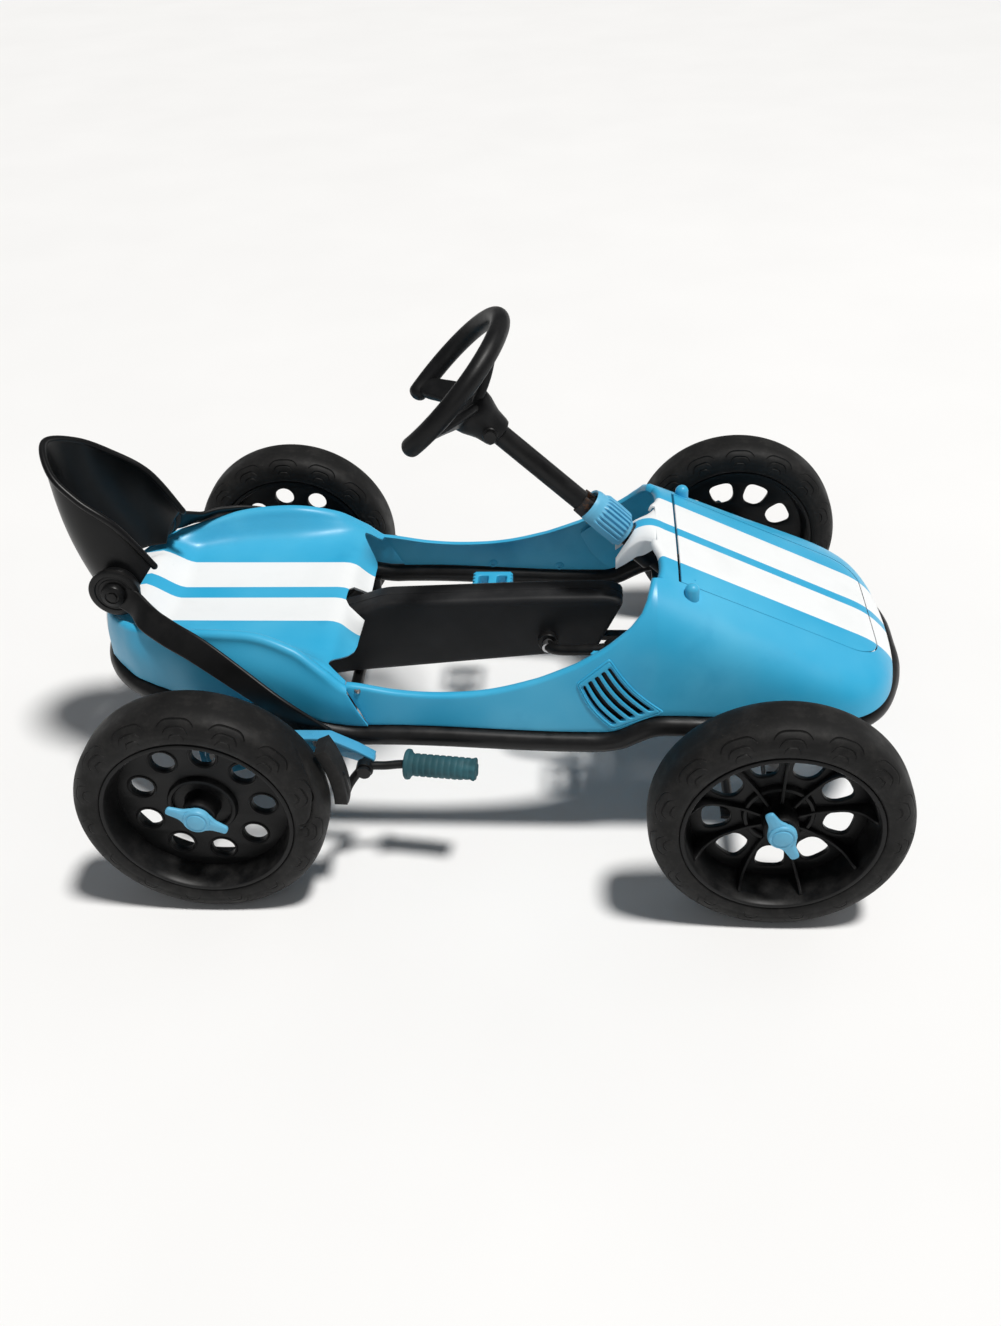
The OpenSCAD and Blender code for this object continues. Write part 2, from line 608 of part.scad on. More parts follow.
function pedal_centre(s) = crank + s * crank_r * [-cos(crank_angle), 0, -sin(crank_angle)];
module pedal(s) {
  p = pedal_centre(s);
  color("#3fa9d8") {
    translate([p[0] - 24, s > 0 ? 70 : -122, p[2] - 8]) difference() {
      cube([48, 52, 16]);
      for (x = [7, 29]) translate([x, 9, -1]) cube([12, 34, 18]);
    }
    for (y = [0 : 6]) for (x = [0, 43]) for (z = [-10, 7])
      translate([p[0] - 24 + x, (s > 0 ? 72 : -120) + 7.3 * y, p[2] + z]) cube([5, 4, 3]);
    across(p, 5, s > 0 ? 50 : -72, s > 0 ? 72 : -50);
  }
}
module pedal_left() { pedal(left); }
module pedal_right() { pedal(right); }
// Inner and outer outline of the chain round both sprockets
module chain_loop(r) {
  hull() {
    translate([crank[0], crank[2]]) circle(r);
    translate([rear_axle_x, axle_z]) circle(r);
  }
}
module chain() {
  color("#6d6f73") translate([0, 2.5, 0]) rotate([90, 0, 0]) linear_extrude(5) difference() {
    chain_loop(sprocket_r + 4.5);
    chain_loop(sprocket_r + 1);
  }
}
module rear_axle() {
  color("#8d9196") across([rear_axle_x, 0, axle_z], axle_r, -rear_wheel_y - 30, rear_wheel_y + 30);
}
module rear_sprocket() { color("#8d9196") sprocket([rear_axle_x, 0, axle_z], axle_r); }
module rear_bearings() {
  color("#9a9da1") for (s = [-1, 1]) difference() {
    across([rear_axle_x, 0, axle_z], 11, min(s * 177, s * 191), max(s * 177, s * 191));
    across([rear_axle_x, 0, axle_z], axle_r + running, -200, 200);
  }
}

// --- wheels, drawn round the Y axis with the outer face towards +Y ---

module tyre_shape() {
  rotate([-90, 0, 0]) rotate_extrude($fn = 96) difference() {
    intersection() {
      translate([rim_r, -tyre_w / 2]) square([tyre_r - rim_r, tyre_w]);
      union() {
        translate([rim_r, -tyre_w / 2]) square([tyre_r - rim_r - 14, tyre_w]);
        translate([rim_r, -tyre_w / 2 + 14]) square([tyre_r - rim_r, tyre_w - 28]);
        for (y = [-1, 1]) translate([tyre_r - 14, y * (tyre_w / 2 - 14)]) circle(14);
      }
    }
  }
}
// Rim: barrel with a dished disc; the rear wheels have round holes, the front ones wide windows
module rim_shape(wide, free, phase) {
  bore = free ? axle_r + running : axle_r;
  disc_y = wide ? -9 : 0;
  window = [for (a = [0 : 20 : 340]) [60, 0] + [14 * sign(cos(a)) * pow(abs(cos(a)), 0.7),
    (14 + 3 * cos(a)) * sign(sin(a)) * pow(abs(sin(a)), 0.7)]];
  difference() {
    union() {
      rotate([-90, 0, 0]) rotate_extrude($fn = 96) {
        translate([rim_r - 5, -28]) square([5, 56]);
        translate([14, disc_y - 3]) square([rim_r - 16, 6]);
        translate([30, disc_y]) square([5, 8]);
      }
      across([0, 0, 0], 17, -24, 24);
      if (wide) for (k = [0 : rim_windows - 1]) rotate([0, 360 * (k + 0.5) / rim_windows - phase, 0])
        translate([15, disc_y + 2, -2]) cube([rim_r - 18, 14, 4]);
    }
    across([0, 0, 0], bore, -40, 40);
    for (k = [0 : rim_windows - 1]) rotate([0, 360 * k / rim_windows - phase, 0])
      if (wide) rotate([90, 0, 0]) translate([0, 0, -8 - disc_y]) linear_extrude(16) polygon(window);
      else across([62, 0, 0], 12, -10, 10);
  }
}
module wheel_at(x, y) {
  translate([x, y, axle_z]) for_side(y > 0 ? left : right) children();
}
module rim_front_left() {
  color("#19191b") wheel_at(front_axle_x, front_wheel_y) rim_shape(true, true, 27);
}
module rim_front_right() {
  color("#19191b") wheel_at(front_axle_x, -front_wheel_y) rim_shape(true, true, 27);
}
module rim_rear_left() {
  color("#19191b") wheel_at(rear_axle_x, rear_wheel_y) rim_shape(false, true, 20);
}
module rim_rear_right() {
  color("#19191b") wheel_at(rear_axle_x, -rear_wheel_y) rim_shape(false, false, 0);
}
module tyre_front_left() { color("#2c2c2e") wheel_at(front_axle_x, front_wheel_y) tyre_shape(); }
module tyre_front_right() { color("#2c2c2e") wheel_at(front_axle_x, -front_wheel_y) tyre_shape(); }
module tyre_rear_left() { color("#2c2c2e") wheel_at(rear_axle_x, rear_wheel_y) tyre_shape(); }
module tyre_rear_right() { color("#2c2c2e") wheel_at(rear_axle_x, -rear_wheel_y) tyre_shape(); }
module wing_nut(turn) {
  difference() {
    union() {
      across([0, 0, 0], 14, 24.3, 33);
      for (a = [turn, turn + 180]) rotate([90, a, 0]) translate([0, 0, -29]) linear_extrude(4) hull() {
        circle(8);
        translate([27, 0]) circle(5);
      }
    }
    across([0, 0, 0], axle_r, 20, 30);
  }
}
module wing_nuts_rear() {
  color("#5cc3ea") for (s = [-1, 1]) wheel_at(rear_axle_x, s * rear_wheel_y) wing_nut(25);
}
module wing_nut_front_left() { color("#5cc3ea") wheel_at(front_axle_x, front_wheel_y) wing_nut(50); }
module wing_nut_front_right() {
  color("#5cc3ea") wheel_at(front_axle_x, -front_wheel_y) wing_nut(62);
}

// --- hand brake ---

grip_turn = -6.5;
module brake_lever() {
  color("#19191b") difference() {
    union() {
      sweep(smooth_path([[0, -209.6, 128], [-64, -202.3, 128], [-90, -203, 127], [-112, -205, 126],
        [-127, -212, 112], [-132, -226, 105], [-129, -240, 112], [-125, -246, 130],
        [-128, -246, 152]], 4), disc(4.5, 12));
      across(brake_pivot, 9, -211, -200);
    }
    across(brake_pivot, 4 + running, -230, -190);
  }
}
module brake_grip() {
  color("#4f8f98") difference() {
    translate([-66, -202, 128]) rotate([0, 90, grip_turn]) {
      cylinder(r = 12, h = 70);
      translate([0, 0, -4]) cylinder(r = 16, h = 6);
    }
    translate([-66, -202, 128]) rotate([0, 90, grip_turn]) translate([0, 0, -6]) cylinder(r = 5.6, h = 71);
  }
}
module brake_shoe() {
  gap = 5;
  color("#3c3d3f") translate([rear_axle_x, -230, axle_z]) rotate([90, 0, 0]) rotate(-3)
    rotate_extrude(angle = 29, $fn = 96) translate([tyre_r + gap, 0]) square([13, 26]);
}
module brake_pivot_bolt() {
  color("#8d9196") {
    across(brake_pivot, 4, -215.3, -184);
    across(brake_pivot, 7, -215.3, -211.3);
  }
}

frame_nose_hoop();
frame_rail_left();
frame_rail_right();
frame_tail_hoop();
crossmember_front();
crossmember_middle();
crossmember_rear();
front_axle_beam();
rear_bracket_left();
rear_bracket_right();
body_front();
body_seat();
bonnet_lid();
lid_hinge_pins();
lid_hinge_eyes();
body_screws();
seat_back();
seat_arm_left();
seat_arm_right();
seat_pivot_bolts();
steering_wheel();
steering_wheel_screw();
column_upper();
column_fold_pin();
column_latch();
column_lower();
column_bush();
tie_rod();
knuckle_left();
knuckle_right();
kingpins();
chain_case_left();
chain_case_right();
crank_axle();
crank_sprocket();
crank_arm_left();
crank_arm_right();
pedal_left();
pedal_right();
chain();
rear_axle();
rear_sprocket();
rear_bearings();
rim_front_left();
rim_front_right();
rim_rear_left();
rim_rear_right();
tyre_front_left();
tyre_front_right();
tyre_rear_left();
tyre_rear_right();
wing_nuts_rear();
wing_nut_front_left();
wing_nut_front_right();
brake_lever();
brake_grip();
brake_shoe();
brake_pivot_bolt();
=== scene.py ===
"""Looks of the pedal go-kart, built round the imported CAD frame. Lengths in the helpers are in millimetres."""
import json
from math import atan2, copysign, cos, exp, hypot, pi, radians, sin, sqrt, tau

import bmesh
import bpy
from mathutils import Matrix, Vector


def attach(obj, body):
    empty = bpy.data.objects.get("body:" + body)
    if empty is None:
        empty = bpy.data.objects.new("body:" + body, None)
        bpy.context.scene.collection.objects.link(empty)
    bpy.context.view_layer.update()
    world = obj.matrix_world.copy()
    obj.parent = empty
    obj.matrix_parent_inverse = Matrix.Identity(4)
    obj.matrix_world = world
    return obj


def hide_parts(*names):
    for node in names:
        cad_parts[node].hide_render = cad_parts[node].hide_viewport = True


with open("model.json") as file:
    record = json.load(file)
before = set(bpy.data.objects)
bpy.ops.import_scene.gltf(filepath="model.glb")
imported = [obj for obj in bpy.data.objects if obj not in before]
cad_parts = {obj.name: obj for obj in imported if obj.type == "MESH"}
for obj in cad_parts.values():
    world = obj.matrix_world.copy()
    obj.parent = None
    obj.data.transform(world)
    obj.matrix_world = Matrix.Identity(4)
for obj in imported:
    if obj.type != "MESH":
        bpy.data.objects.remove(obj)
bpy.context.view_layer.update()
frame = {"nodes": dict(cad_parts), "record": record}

MM = 0.001
AXLE_Z = 127.0
REAR_X, FRONT_X = -268.0, 302.0
REAR_Y, FRONT_Y = 260.0, 273.0
RAIL_Y = 160.0
FOLD = Vector((122.0, 0.0, 310.4))
RAKE = radians(46.6)
COL_X = Vector((cos(RAKE), 0, sin(RAKE)))
COL_Z = Vector((-sin(RAKE), 0, cos(RAKE)))
COL_Y = Vector((0, 1, 0))
SIDES = ((1, "left"), (-1, "right"))


# ---------- curves and small mathematics ----------

def mix(a, b, t):
    """The value a share t of the way from a to b."""
    return a + (b - a) * t


def clamp(v, lo=0.0, hi=1.0):
    return max(lo, min(hi, v))


def ease(t):
    """Smooth step from 0 to 1."""
    u = clamp(t)
    return u * u * (3 - 2 * u)


def catmull(p, t):
    return 0.5 * (2 * p[1] + (p[2] - p[0]) * t + (2 * p[0] - 5 * p[1] + 4 * p[2] - p[3]) * t * t
                  + (3 * p[1] - p[0] - 3 * p[2] + p[3]) * t * t * t)


def smooth_path(points, steps=6):
    p = [Vector(q) for q in points]
    pick = lambda i: p[max(0, min(len(p) - 1, i))]
    out = []
    for i in range(len(p) - 1):
        for s in range(steps):
            out.append(catmull([pick(i - 1), p[i], p[i + 1], pick(i + 2)], s / steps))
    return out + [p[-1]]


def along(table, x):
    """Value at x from [x, value] pairs, smoothly."""
    n = len(table)
    i = max([0] + [k for k in range(n - 1) if table[k][0] <= x])
    t = clamp((x - table[i][0]) / (table[i + 1][0] - table[i][0]))
    pick = lambda k: table[max(0, min(n - 1, k))][1]
    return catmull([pick(i - 1), table[i][1], table[i + 1][1], pick(i + 2)], t)


def mirror_y(points):
    return [Vector((q[0], -q[1], q[2])) for q in points]


def whole(half):
    """A left half path ending on the middle plane, and its mirror image."""
    half = [Vector(q) for q in half]
    return half + mirror_y(half[:-1])[::-1]


def column(x, y, h):
    """Row position of a point in the steering column's frame."""
    return FOLD + COL_X * x + COL_Y * y + COL_Z * h


# ---------- making meshes ----------

def new_mesh(name, verts, faces, look, body="frame", smooth=40, centre=None):
    """A piece that rides on a body, with a finish from MATERIALS; degrees of smooth keep an edge sharp."""
    centre = Vector(centre) if centre is not None else Vector((0, 0, 0))
    mesh = bpy.data.meshes.new(name)
    mesh.from_pydata([((Vector(v) - centre) * MM)[:] for v in verts], [], faces)
    mesh.validate()
    obj = bpy.data.objects.new(name, mesh)
    obj.location = centre * MM
    bpy.context.scene.collection.objects.link(obj)
    tidy_normals(mesh)
    mesh.materials.append(MATERIALS[look])
    if smooth:
        mesh.shade_smooth()
        mesh.set_sharp_from_angle(angle=radians(smooth))
    obj["ride_on"] = body
    PIECES.append(obj)
    return obj


def tidy_normals(mesh):
    bm = bmesh.new()
    bm.from_mesh(mesh)
    bmesh.ops.remove_doubles(bm, verts=bm.verts, dist=1e-6)
    bmesh.ops.recalc_face_normals(bm, faces=bm.faces)
    bm.to_mesh(mesh)
    bm.free()


def apply_modifiers(obj, smooth=40):
    bpy.context.view_layer.update()
    depsgraph = bpy.context.evaluated_depsgraph_get()
    baked = bpy.data.meshes.new_from_object(obj.evaluated_get(depsgraph))
    old = obj.data
    obj.modifiers.clear()
    obj.data = baked
    bpy.data.meshes.remove(old)
    if smooth:
        baked.shade_smooth()
        baked.set_sharp_from_angle(angle=radians(smooth))
    return obj


def thicken(obj, wall, rounding=1.0, segments=3, smooth=40, even=True, side=-1.0):
    solid = obj.modifiers.new("wall", "SOLIDIFY")
    solid.thickness, solid.offset, solid.use_even_offset = wall * MM, side, even
    round_edges(obj, rounding, segments)
    return apply_modifiers(obj, smooth)


def round_edges(obj, width, segments):
    bevel = obj.modifiers.new("round", "BEVEL")
    bevel.width, bevel.segments, bevel.limit_method = width * MM, segments, "ANGLE"
    bevel.angle_limit, bevel.miter_outer = radians(50), "MITER_ARC"


def grid_faces(rows, cols, close_cols=False):
    faces = []
    for i in range(rows - 1):
        for j in range(cols if close_cols else cols - 1):
            k = (j + 1) % cols
            faces.append((i * cols + j, i * cols + k, (i + 1) * cols + k, (i + 1) * cols + j))
    return faces


def rings(name, ring_list, look, body="frame", smooth=40, centre=None):
    """A closed skin over a list of rings with the same number of points."""
    n = len(ring_list[0])
    verts = [p for ring in ring_list for p in ring]
    faces = grid_faces(len(ring_list), n, close_cols=True)
    faces += [tuple(range(n)), tuple(range(len(verts) - n, len(verts)))]
    return new_mesh(name, verts, faces, look, body, smooth, centre)


DOME_RINGS = 5


def frames(path, up=(0, 0, 1)):
    """Point, direction, side and top at each point of a path."""
    up = Vector(up)
    out = []
    for i, p in enumerate(path):
        t = (path[min(i + 1, len(path) - 1)] - path[max(i - 1, 0)]).normalized()
        side = t.cross(up).normalized()
        out.append((p, t, side, side.cross(t)))
    return out


def sweep(name, path, profile, look, body="frame", up=(0, 0, 1), round_ends=0.0):
    """Sweeps a closed profile of (side, up) pairs; round_ends closes both ends with a small dome."""
    spine = frames([Vector(p) for p in path], up)

    def ring(station, size=1.0, ahead=0.0):
        p, t, side, top = station
        return [p + t * ahead + side * q[0] * size + top * q[1] * size for q in profile]

    def dome(station, way):
        turns = [pi / 2 * k / DOME_RINGS for k in range(DOME_RINGS)]
        return [ring(station, max(0.02, sin(a)), way * round_ends * cos(a)) for a in turns]

    out = [ring(station) for station in spine]
    if round_ends:
        out = dome(spine[0], -1) + out + dome(spine[-1], 1)[::-1]
    return rings(name, out, look, body)


def disc(r, n=24):
    return [(r * cos(tau * k / n), r * sin(tau * k / n)) for k in range(n)]


def soft_bar(w, h, r, n=4):
    """Rectangle w by h with rounded corners."""
    out = []
    for cx, cy, a0 in ((1, 1, 0), (-1, 1, 90), (-1, -1, 180), (1, -1, 270)):
        for k in range(n + 1):
            a = radians(a0 + 90 * k / n)
            out.append((cx * (w / 2 - r) + r * cos(a), cy * (h / 2 - r) + r * sin(a)))
    return out


def lathe(name, profile, origin, axis, look, body="frame", n=64, centre=None, closed=False):
    """Turns (radius, height) pairs round an axis, in n steps."""
    origin, axis = Vector(origin), Vector(axis).normalized()
    side = axis.orthogonal().normalized()
    other = axis.cross(side)
    verts, faces = [], []
    for r, h in profile:
        for k in range(n):
            a = tau * k / n
            verts.append(origin + axis * h + (side * cos(a) + other * sin(a)) * max(r, 0.001))
    levels = len(profile)
    for i in range(levels if closed else levels - 1):
        j = (i + 1) % levels
        for k in range(n):
            m = (k + 1) % n
            faces.append((i * n + k, i * n + m, j * n + m, j * n + k))
    return new_mesh(name, verts, faces, look, body, 35, centre)


def plate(name, loops, thick, bevel, place, look, body="frame", smooth=35, centre=None):
    """A flat plate from 2-D loops, the later ones holes; place(u, v, w) gives a position, w from 0 to thick."""
    curve = bpy.data.curves.new(name, "CURVE")
    curve.dimensions, curve.fill_mode = "2D", "BOTH"
    curve.extrude = max(0.0, thick / 2 - bevel)
    curve.bevel_depth, curve.bevel_resolution = bevel, 2
    curve.offset = -bevel
    for loop in loops:
        spline = curve.splines.new("POLY")
        spline.points.add(len(loop) - 1)
        for point, (u, v) in zip(spline.points, loop):
            point.co = (u, v, 0, 1)
        spline.use_cyclic_u = True
    holder = bpy.data.objects.new(name + "_curve", curve)
    bpy.context.scene.collection.objects.link(holder)
    bpy.context.view_layer.update()
    mesh = bpy.data.meshes.new_from_object(holder.evaluated_get(bpy.context.evaluated_depsgraph_get()))
    verts = [place(v.co.x, v.co.y, v.co.z + thick / 2) for v in mesh.vertices]
    faces = [tuple(p.vertices) for p in mesh.polygons]
    bpy.data.objects.remove(holder)
    bpy.data.curves.remove(curve)
    bpy.data.meshes.remove(mesh)
    return new_mesh(name, verts, faces, look, body, smooth, centre)


def round_loop(points, steps=5):
    """A closed loop through the points, smoothly."""
    p = [Vector((q[0], q[1], 0)) for q in points]
    n = len(p)
    out = []
    for i in range(n):
        for s in range(steps):
            v = catmull([p[i - 1], p[i], p[(i + 1) % n], p[(i + 2) % n]], s / steps)
            out.append((v.x, v.y))
    return out


def corner_loop(points, radius, steps=5):
    """A closed loop with straight sides and rounded corners."""
    out = []
    n = len(points)
    for i, q in enumerate(points):
        b, a, c = Vector(q), Vector(points[i - 1]), Vector(points[(i + 1) % n])
        r = min(radius, (a - b).length * 0.45, (c - b).length * 0.45)
        start, end = b + (a - b).normalized() * r, b + (c - b).normalized() * r
        for k in range(steps + 1):
            t = k / steps
            v = start * (1 - t) ** 2 + b * 2 * t * (1 - t) + end * t * t
            out.append((v.x, v.y))
    return out


def washer(bore, radius, low, high, edge=1.0, rise=1.0):
    """Profile of a ring with its outer edges cut off."""
    return [(bore, low), (radius - edge, low), (radius, low + rise),
            (radius, high - rise), (radius - edge, high), (bore, high)]


def circle(r, n=48, centre=(0, 0)):
    return [(centre[0] + x, centre[1] + y) for x, y in disc(r, n)]


def join(name, pieces):
    """Joins pieces of one body into one object under a new name."""
    bpy.ops.object.select_all(action="DESELECT")
    for p in pieces:
        p.select_set(True)
    bpy.context.view_layer.objects.active = pieces[0]
    bpy.ops.object.join()
    for p in pieces[1:]:
        PIECES.remove(p)
    pieces[0].name = pieces[0].data.name = name
    return pieces[0]


PIECES = []


# ---------- materials ----------

class Shade:
    """A node material under construction."""

    def __init__(self, name, rough, metallic=0.0, coat=0.0, specular=0.5):
        self.mat = bpy.data.materials.new(name)
        self.mat.use_nodes = True
        self.nodes, self.links = self.mat.node_tree.nodes, self.mat.node_tree.links
        self.bsdf = self.nodes["Principled BSDF"]
        self.bsdf.inputs["Roughness"].default_value = rough
        self.bsdf.inputs["Metallic"].default_value = metallic
        self.bsdf.inputs["Specular IOR Level"].default_value = specular
        self.bsdf.inputs["Coat Weight"].default_value = coat
        self.coords = self.nodes.new("ShaderNodeTexCoord").outputs["Object"]

    def link(self, a, b):
        self.links.new(a, b)

    def noise(self, scale, detail=4.0, rough=0.55, stretch=(1, 1, 1), offset=(0, 0, 0)):
        mapping = self.nodes.new("ShaderNodeMapping")
        mapping.inputs["Scale"].default_value = stretch
        mapping.inputs["Location"].default_value = offset
        tex = self.nodes.new("ShaderNodeTexNoise")
        tex.inputs["Scale"].default_value = scale
        tex.inputs["Detail"].default_value = detail
        tex.inputs["Roughness"].default_value = rough
        self.link(self.coords, mapping.inputs["Vector"])
        self.link(mapping.outputs["Vector"], tex.inputs["Vector"])
        return tex.outputs["Fac"]

    def cells(self, scale):
        tex = self.nodes.new("ShaderNodeTexVoronoi")
        tex.inputs["Scale"].default_value = scale
        self.link(self.coords, tex.inputs["Vector"])
        return tex.outputs["Distance"]

    def ramp(self, value, *stops):
        node = self.nodes.new("ShaderNodeValToRGB")
        elements = node.color_ramp.elements
        while len(elements) < len(stops):
            elements.new(0.5)
        for element, (pos, colour) in zip(elements, stops):
            element.position = pos
            element.color = (*colour, 1) if isinstance(colour, tuple) else (colour, colour, colour, 1)
        self.link(value, node.inputs["Fac"])
        return node.outputs["Color"]

    def math(self, op, a, b=None, clamped=False):
        node = self.nodes.new("ShaderNodeMath")
        node.operation, node.use_clamp = op, clamped
        for socket, value in zip(node.inputs, (a, b)):
            if value is None:
                continue
            if isinstance(value, (int, float)):
                socket.default_value = value
            else:
                self.link(value, socket)
        return node.outputs[0]

    def blend(self, fac, a, b):
        node = self.nodes.new("ShaderNodeMix")
        node.data_type = "RGBA"
        for socket, value in ((node.inputs[0], fac), (node.inputs[6], a), (node.inputs[7], b)):
            if isinstance(value, tuple):
                socket.default_value = (*value, 1)
            elif isinstance(value, (int, float)):
                socket.default_value = value
            else:
                self.link(value, socket)
        return node.outputs[2]

    def axis(self, which, coords=None):
        node = self.nodes.new("ShaderNodeSeparateXYZ")
        self.link(coords or self.coords, node.inputs[0])
        return node.outputs[which]

    def up_facing(self, low=0.2, high=0.95):
        """1 where the surface looks up, in the object's own rest pose."""
        node = self.nodes.new("ShaderNodeTexCoord")
        z = self.axis("Z", node.outputs["Normal"])
        return self.ramp(z, (low, 0.0), (high, 1.0))

    def colour(self, socket):
        self.link(socket, self.bsdf.inputs["Base Color"])

    def roughness(self, socket):
        self.link(socket, self.bsdf.inputs["Roughness"])

    def bump(self, *layers):
        """Layers of (height socket, strength, distance in mm)."""
        normal = None
        for height, strength, distance in layers:
            node = self.nodes.new("ShaderNodeBump")
            node.inputs["Strength"].default_value = strength
            node.inputs["Distance"].default_value = distance * MM
            self.link(height, node.inputs["Height"])
            if normal is not None:
                self.link(normal, node.inputs["Normal"])
            normal = node.outputs["Normal"]
        self.link(normal, self.bsdf.inputs["Normal"])


BLUE = (0.030, 0.390, 0.660)
BLUE_FADED = (0.075, 0.460, 0.715)
BLUE_DEEP = (0.018, 0.305, 0.560)
PALE = (0.105, 0.420, 0.660)
WHITE = (0.86, 0.88, 0.89)


def blue_plastic(name, stripes=None, tones=None, rough=(0.30, 0.46), coat=0.0):
    """Moulded blue plastic; stripes is (inner edge, outer edge) in mm from the middle plane."""
    s = Shade(name, 0.38, coat=coat, specular=0.35)
    plain, faded, deep = tones or (BLUE, BLUE_FADED, BLUE_DEEP)
    base = s.blend(s.ramp(s.noise(7, 3), (0.35, 0.0), (0.68, 1.0)), plain, faded)
    base = s.blend(s.ramp(s.noise(16, 5, offset=(3, 1, 2)), (0.55, 0.0), (0.80, 0.6)), base, deep)
    if stripes:
        y = s.math("ABSOLUTE", s.axis("Y"))
        inner = s.math("GREATER_THAN", y, stripes[0] * MM)
        outer = s.math("LESS_THAN", y, stripes[1] * MM)
        band = s.math("MULTIPLY", inner, outer)
        white = s.blend(s.ramp(s.noise(22, 5), (0.50, 0.0), (0.85, 0.30)), WHITE, (0.70, 0.73, 0.73))
        base = s.blend(band, base, white)
    grime = s.ramp(s.noise(60, 9, 0.74, offset=(5, 5, 5)), (0.64, 0.0), (0.80, 0.22))
    base = s.blend(grime, base, (0.12, 0.20, 0.24))
    s.colour(base)
    s.roughness(s.ramp(s.noise(30, 6, 0.65), (0.3, rough[0]), (0.75, rough[1])))
    s.bump((s.noise(900, 2), 0.08, 0.05), (s.noise(9, 2), 0.15, 1.0))
    return s.mat


def black_paint(name, tone=0.0045, wear=0.12, rusty=0.0):
    """Painted steel with dust on top, chips and sometimes rust."""
    s = Shade(name, 0.34, specular=0.28)
    base = s.blend(s.ramp(s.noise(20, 5), (0.4, 0.0), (0.75, 1.0)), (tone, tone, tone * 1.05),
                   (tone * 1.8, tone * 1.8, tone * 1.9))
    dust = s.math("MULTIPLY", s.up_facing(0.35, 1.0), s.ramp(s.noise(55, 6, 0.7), (0.45, 0.0), (0.78, wear)))
    base = s.blend(dust, base, (0.14, 0.13, 0.12))
    chips = s.ramp(s.noise(190, 4, 0.7), (0.74, 0.0), (0.76, 0.5))
    base = s.blend(chips, base, (0.12, 0.11, 0.10))
    if rusty:
        base = s.blend(s.ramp(s.noise(75, 6, 0.7), (0.50, 0.0), (0.58, rusty)), base, (0.16, 0.065, 0.025))
    s.colour(base)
    s.roughness(s.ramp(s.noise(60, 5), (0.3, 0.30), (0.75, 0.50)))
    s.bump((s.noise(420, 3), 0.12, 0.08), (chips, 0.3, -0.12))
    return s.mat


def black_plastic(name, tone=0.008, grain=0.35, dusty=0.15, sheen=(0.34, 0.54), specular=0.22):
    """Grained black plastic with dust on top."""
    s = Shade(name, 0.42, specular=specular)
    base = s.blend(s.ramp(s.noise(9, 4), (0.35, 0.0), (0.70, 1.0)), (tone * 0.8, tone * 0.82, tone * 0.9),
                   (tone * 1.5, tone * 1.55, tone * 1.65))
    dust = s.math("MULTIPLY", s.up_facing(0.15, 0.95),
                  s.ramp(s.noise(38, 7, 0.7), (0.42, 0.0), (0.80, dusty)))
    base = s.blend(dust, base, (0.14, 0.135, 0.13))
    fine = s.ramp(s.noise(420, 4, 0.7), (0.66, 0.0), (0.74, dusty))
    s.colour(s.blend(fine, base, (0.16, 0.155, 0.15)))
    s.roughness(s.ramp(s.noise(24, 6, 0.6), (0.3, sheen[0]), (0.75, sheen[1])))
    s.bump((s.cells(520), grain, 0.10), (s.noise(12, 3), 0.15, 0.8))
    return s.mat


# Nested grooves of the tread shoulder: half length and distance from the middle of the tread.
GROOVES = [(18.0, 21.0), (13.5, 28.0), (9.0, 34.5)]
GROOVE_GROUPS, GROOVE_WIDTH = 15, 1.0


def tread_grooves(s):
    """1 in the grooves of a tyre that turns about the object's own Y axis."""
    x, y, z = (s.math("MULTIPLY", s.axis(k), 1000.0) for k in "XYZ")
    turn = s.math("MULTIPLY", s.math("ARCTAN2", z, x), GROOVE_GROUPS / tau)
    turn = s.math("ADD", turn, s.math("MULTIPLY", s.math("SIGN", y), 0.25))
    along_tread = s.math("MULTIPLY", s.math("SUBTRACT", s.math("FRACT", turn), 0.5),
                         tau * 122 / GROOVE_GROUPS)
    radius = s.math("SQRT", s.math("ADD", s.math("MULTIPLY", x, x), s.math("MULTIPLY", z, z)))
    across = s.math("MULTIPLY", s.math("ARCTAN2", s.math("ABSOLUTE", y), s.math("SUBTRACT", radius, 98.0)),
                    30.0)
    total = 0.0
    for half, middle in GROOVES:
        reach = s.math("DIVIDE", along_tread, half)
        squared = s.math("MULTIPLY", reach, reach)
        bend = s.math("MULTIPLY", s.math("MULTIPLY", squared, squared), 6.5)
        gap = s.math("ABSOLUTE", s.math("SUBTRACT", s.math("SUBTRACT", across, bend), middle))
        groove = s.math("SUBTRACT", 1.0, s.math("DIVIDE", gap, GROOVE_WIDTH), clamped=True)
        groove = s.math("MULTIPLY", groove, s.math("LESS_THAN", squared, 1.0))
        total = s.math("MAXIMUM", total, groove)
    return total


def rubber(name, tone=0.0075, dusty=0.22, tint=(1, 0.98, 0.97), tread=False):
    """Dusty rubber, with the tread's grooves on a tyre."""
    s = Shade(name, 0.60, specular=0.22)
    base = s.blend(s.ramp(s.noise(14, 5), (0.35, 0.0), (0.70, 1.0)), tuple(tone * 0.8 * c for c in tint),
                   tuple(tone * 1.6 * c for c in tint))
    dust = s.ramp(s.noise(70, 8, 0.72), (0.48, 0.0), (0.80, dusty))
    base = s.blend(dust, base, (0.085, 0.080, 0.075))
    specks = s.ramp(s.noise(330, 3, 0.7), (0.71, 0.0), (0.77, 0.7))
    base = s.blend(specks, base, (0.17, 0.16, 0.15))
    layers = [(s.noise(380, 5, 0.7), 0.30, 0.16), (s.cells(150), 0.10, 0.2)]
    if tread:
        groove = tread_grooves(s)
        # The grooves are also darkened in the base colour: painted shade in the grooves.
        base = s.blend(s.math("MULTIPLY", groove, 0.7), base, (0.002, 0.002, 0.002))
        layers.insert(0, (s.math("SUBTRACT", 1.0, groove), 1.0, 1.6))
    s.colour(base)
    s.roughness(s.ramp(s.noise(45, 6), (0.3, 0.48), (0.75, 0.74)))
    s.bump(*layers)
    return s.mat


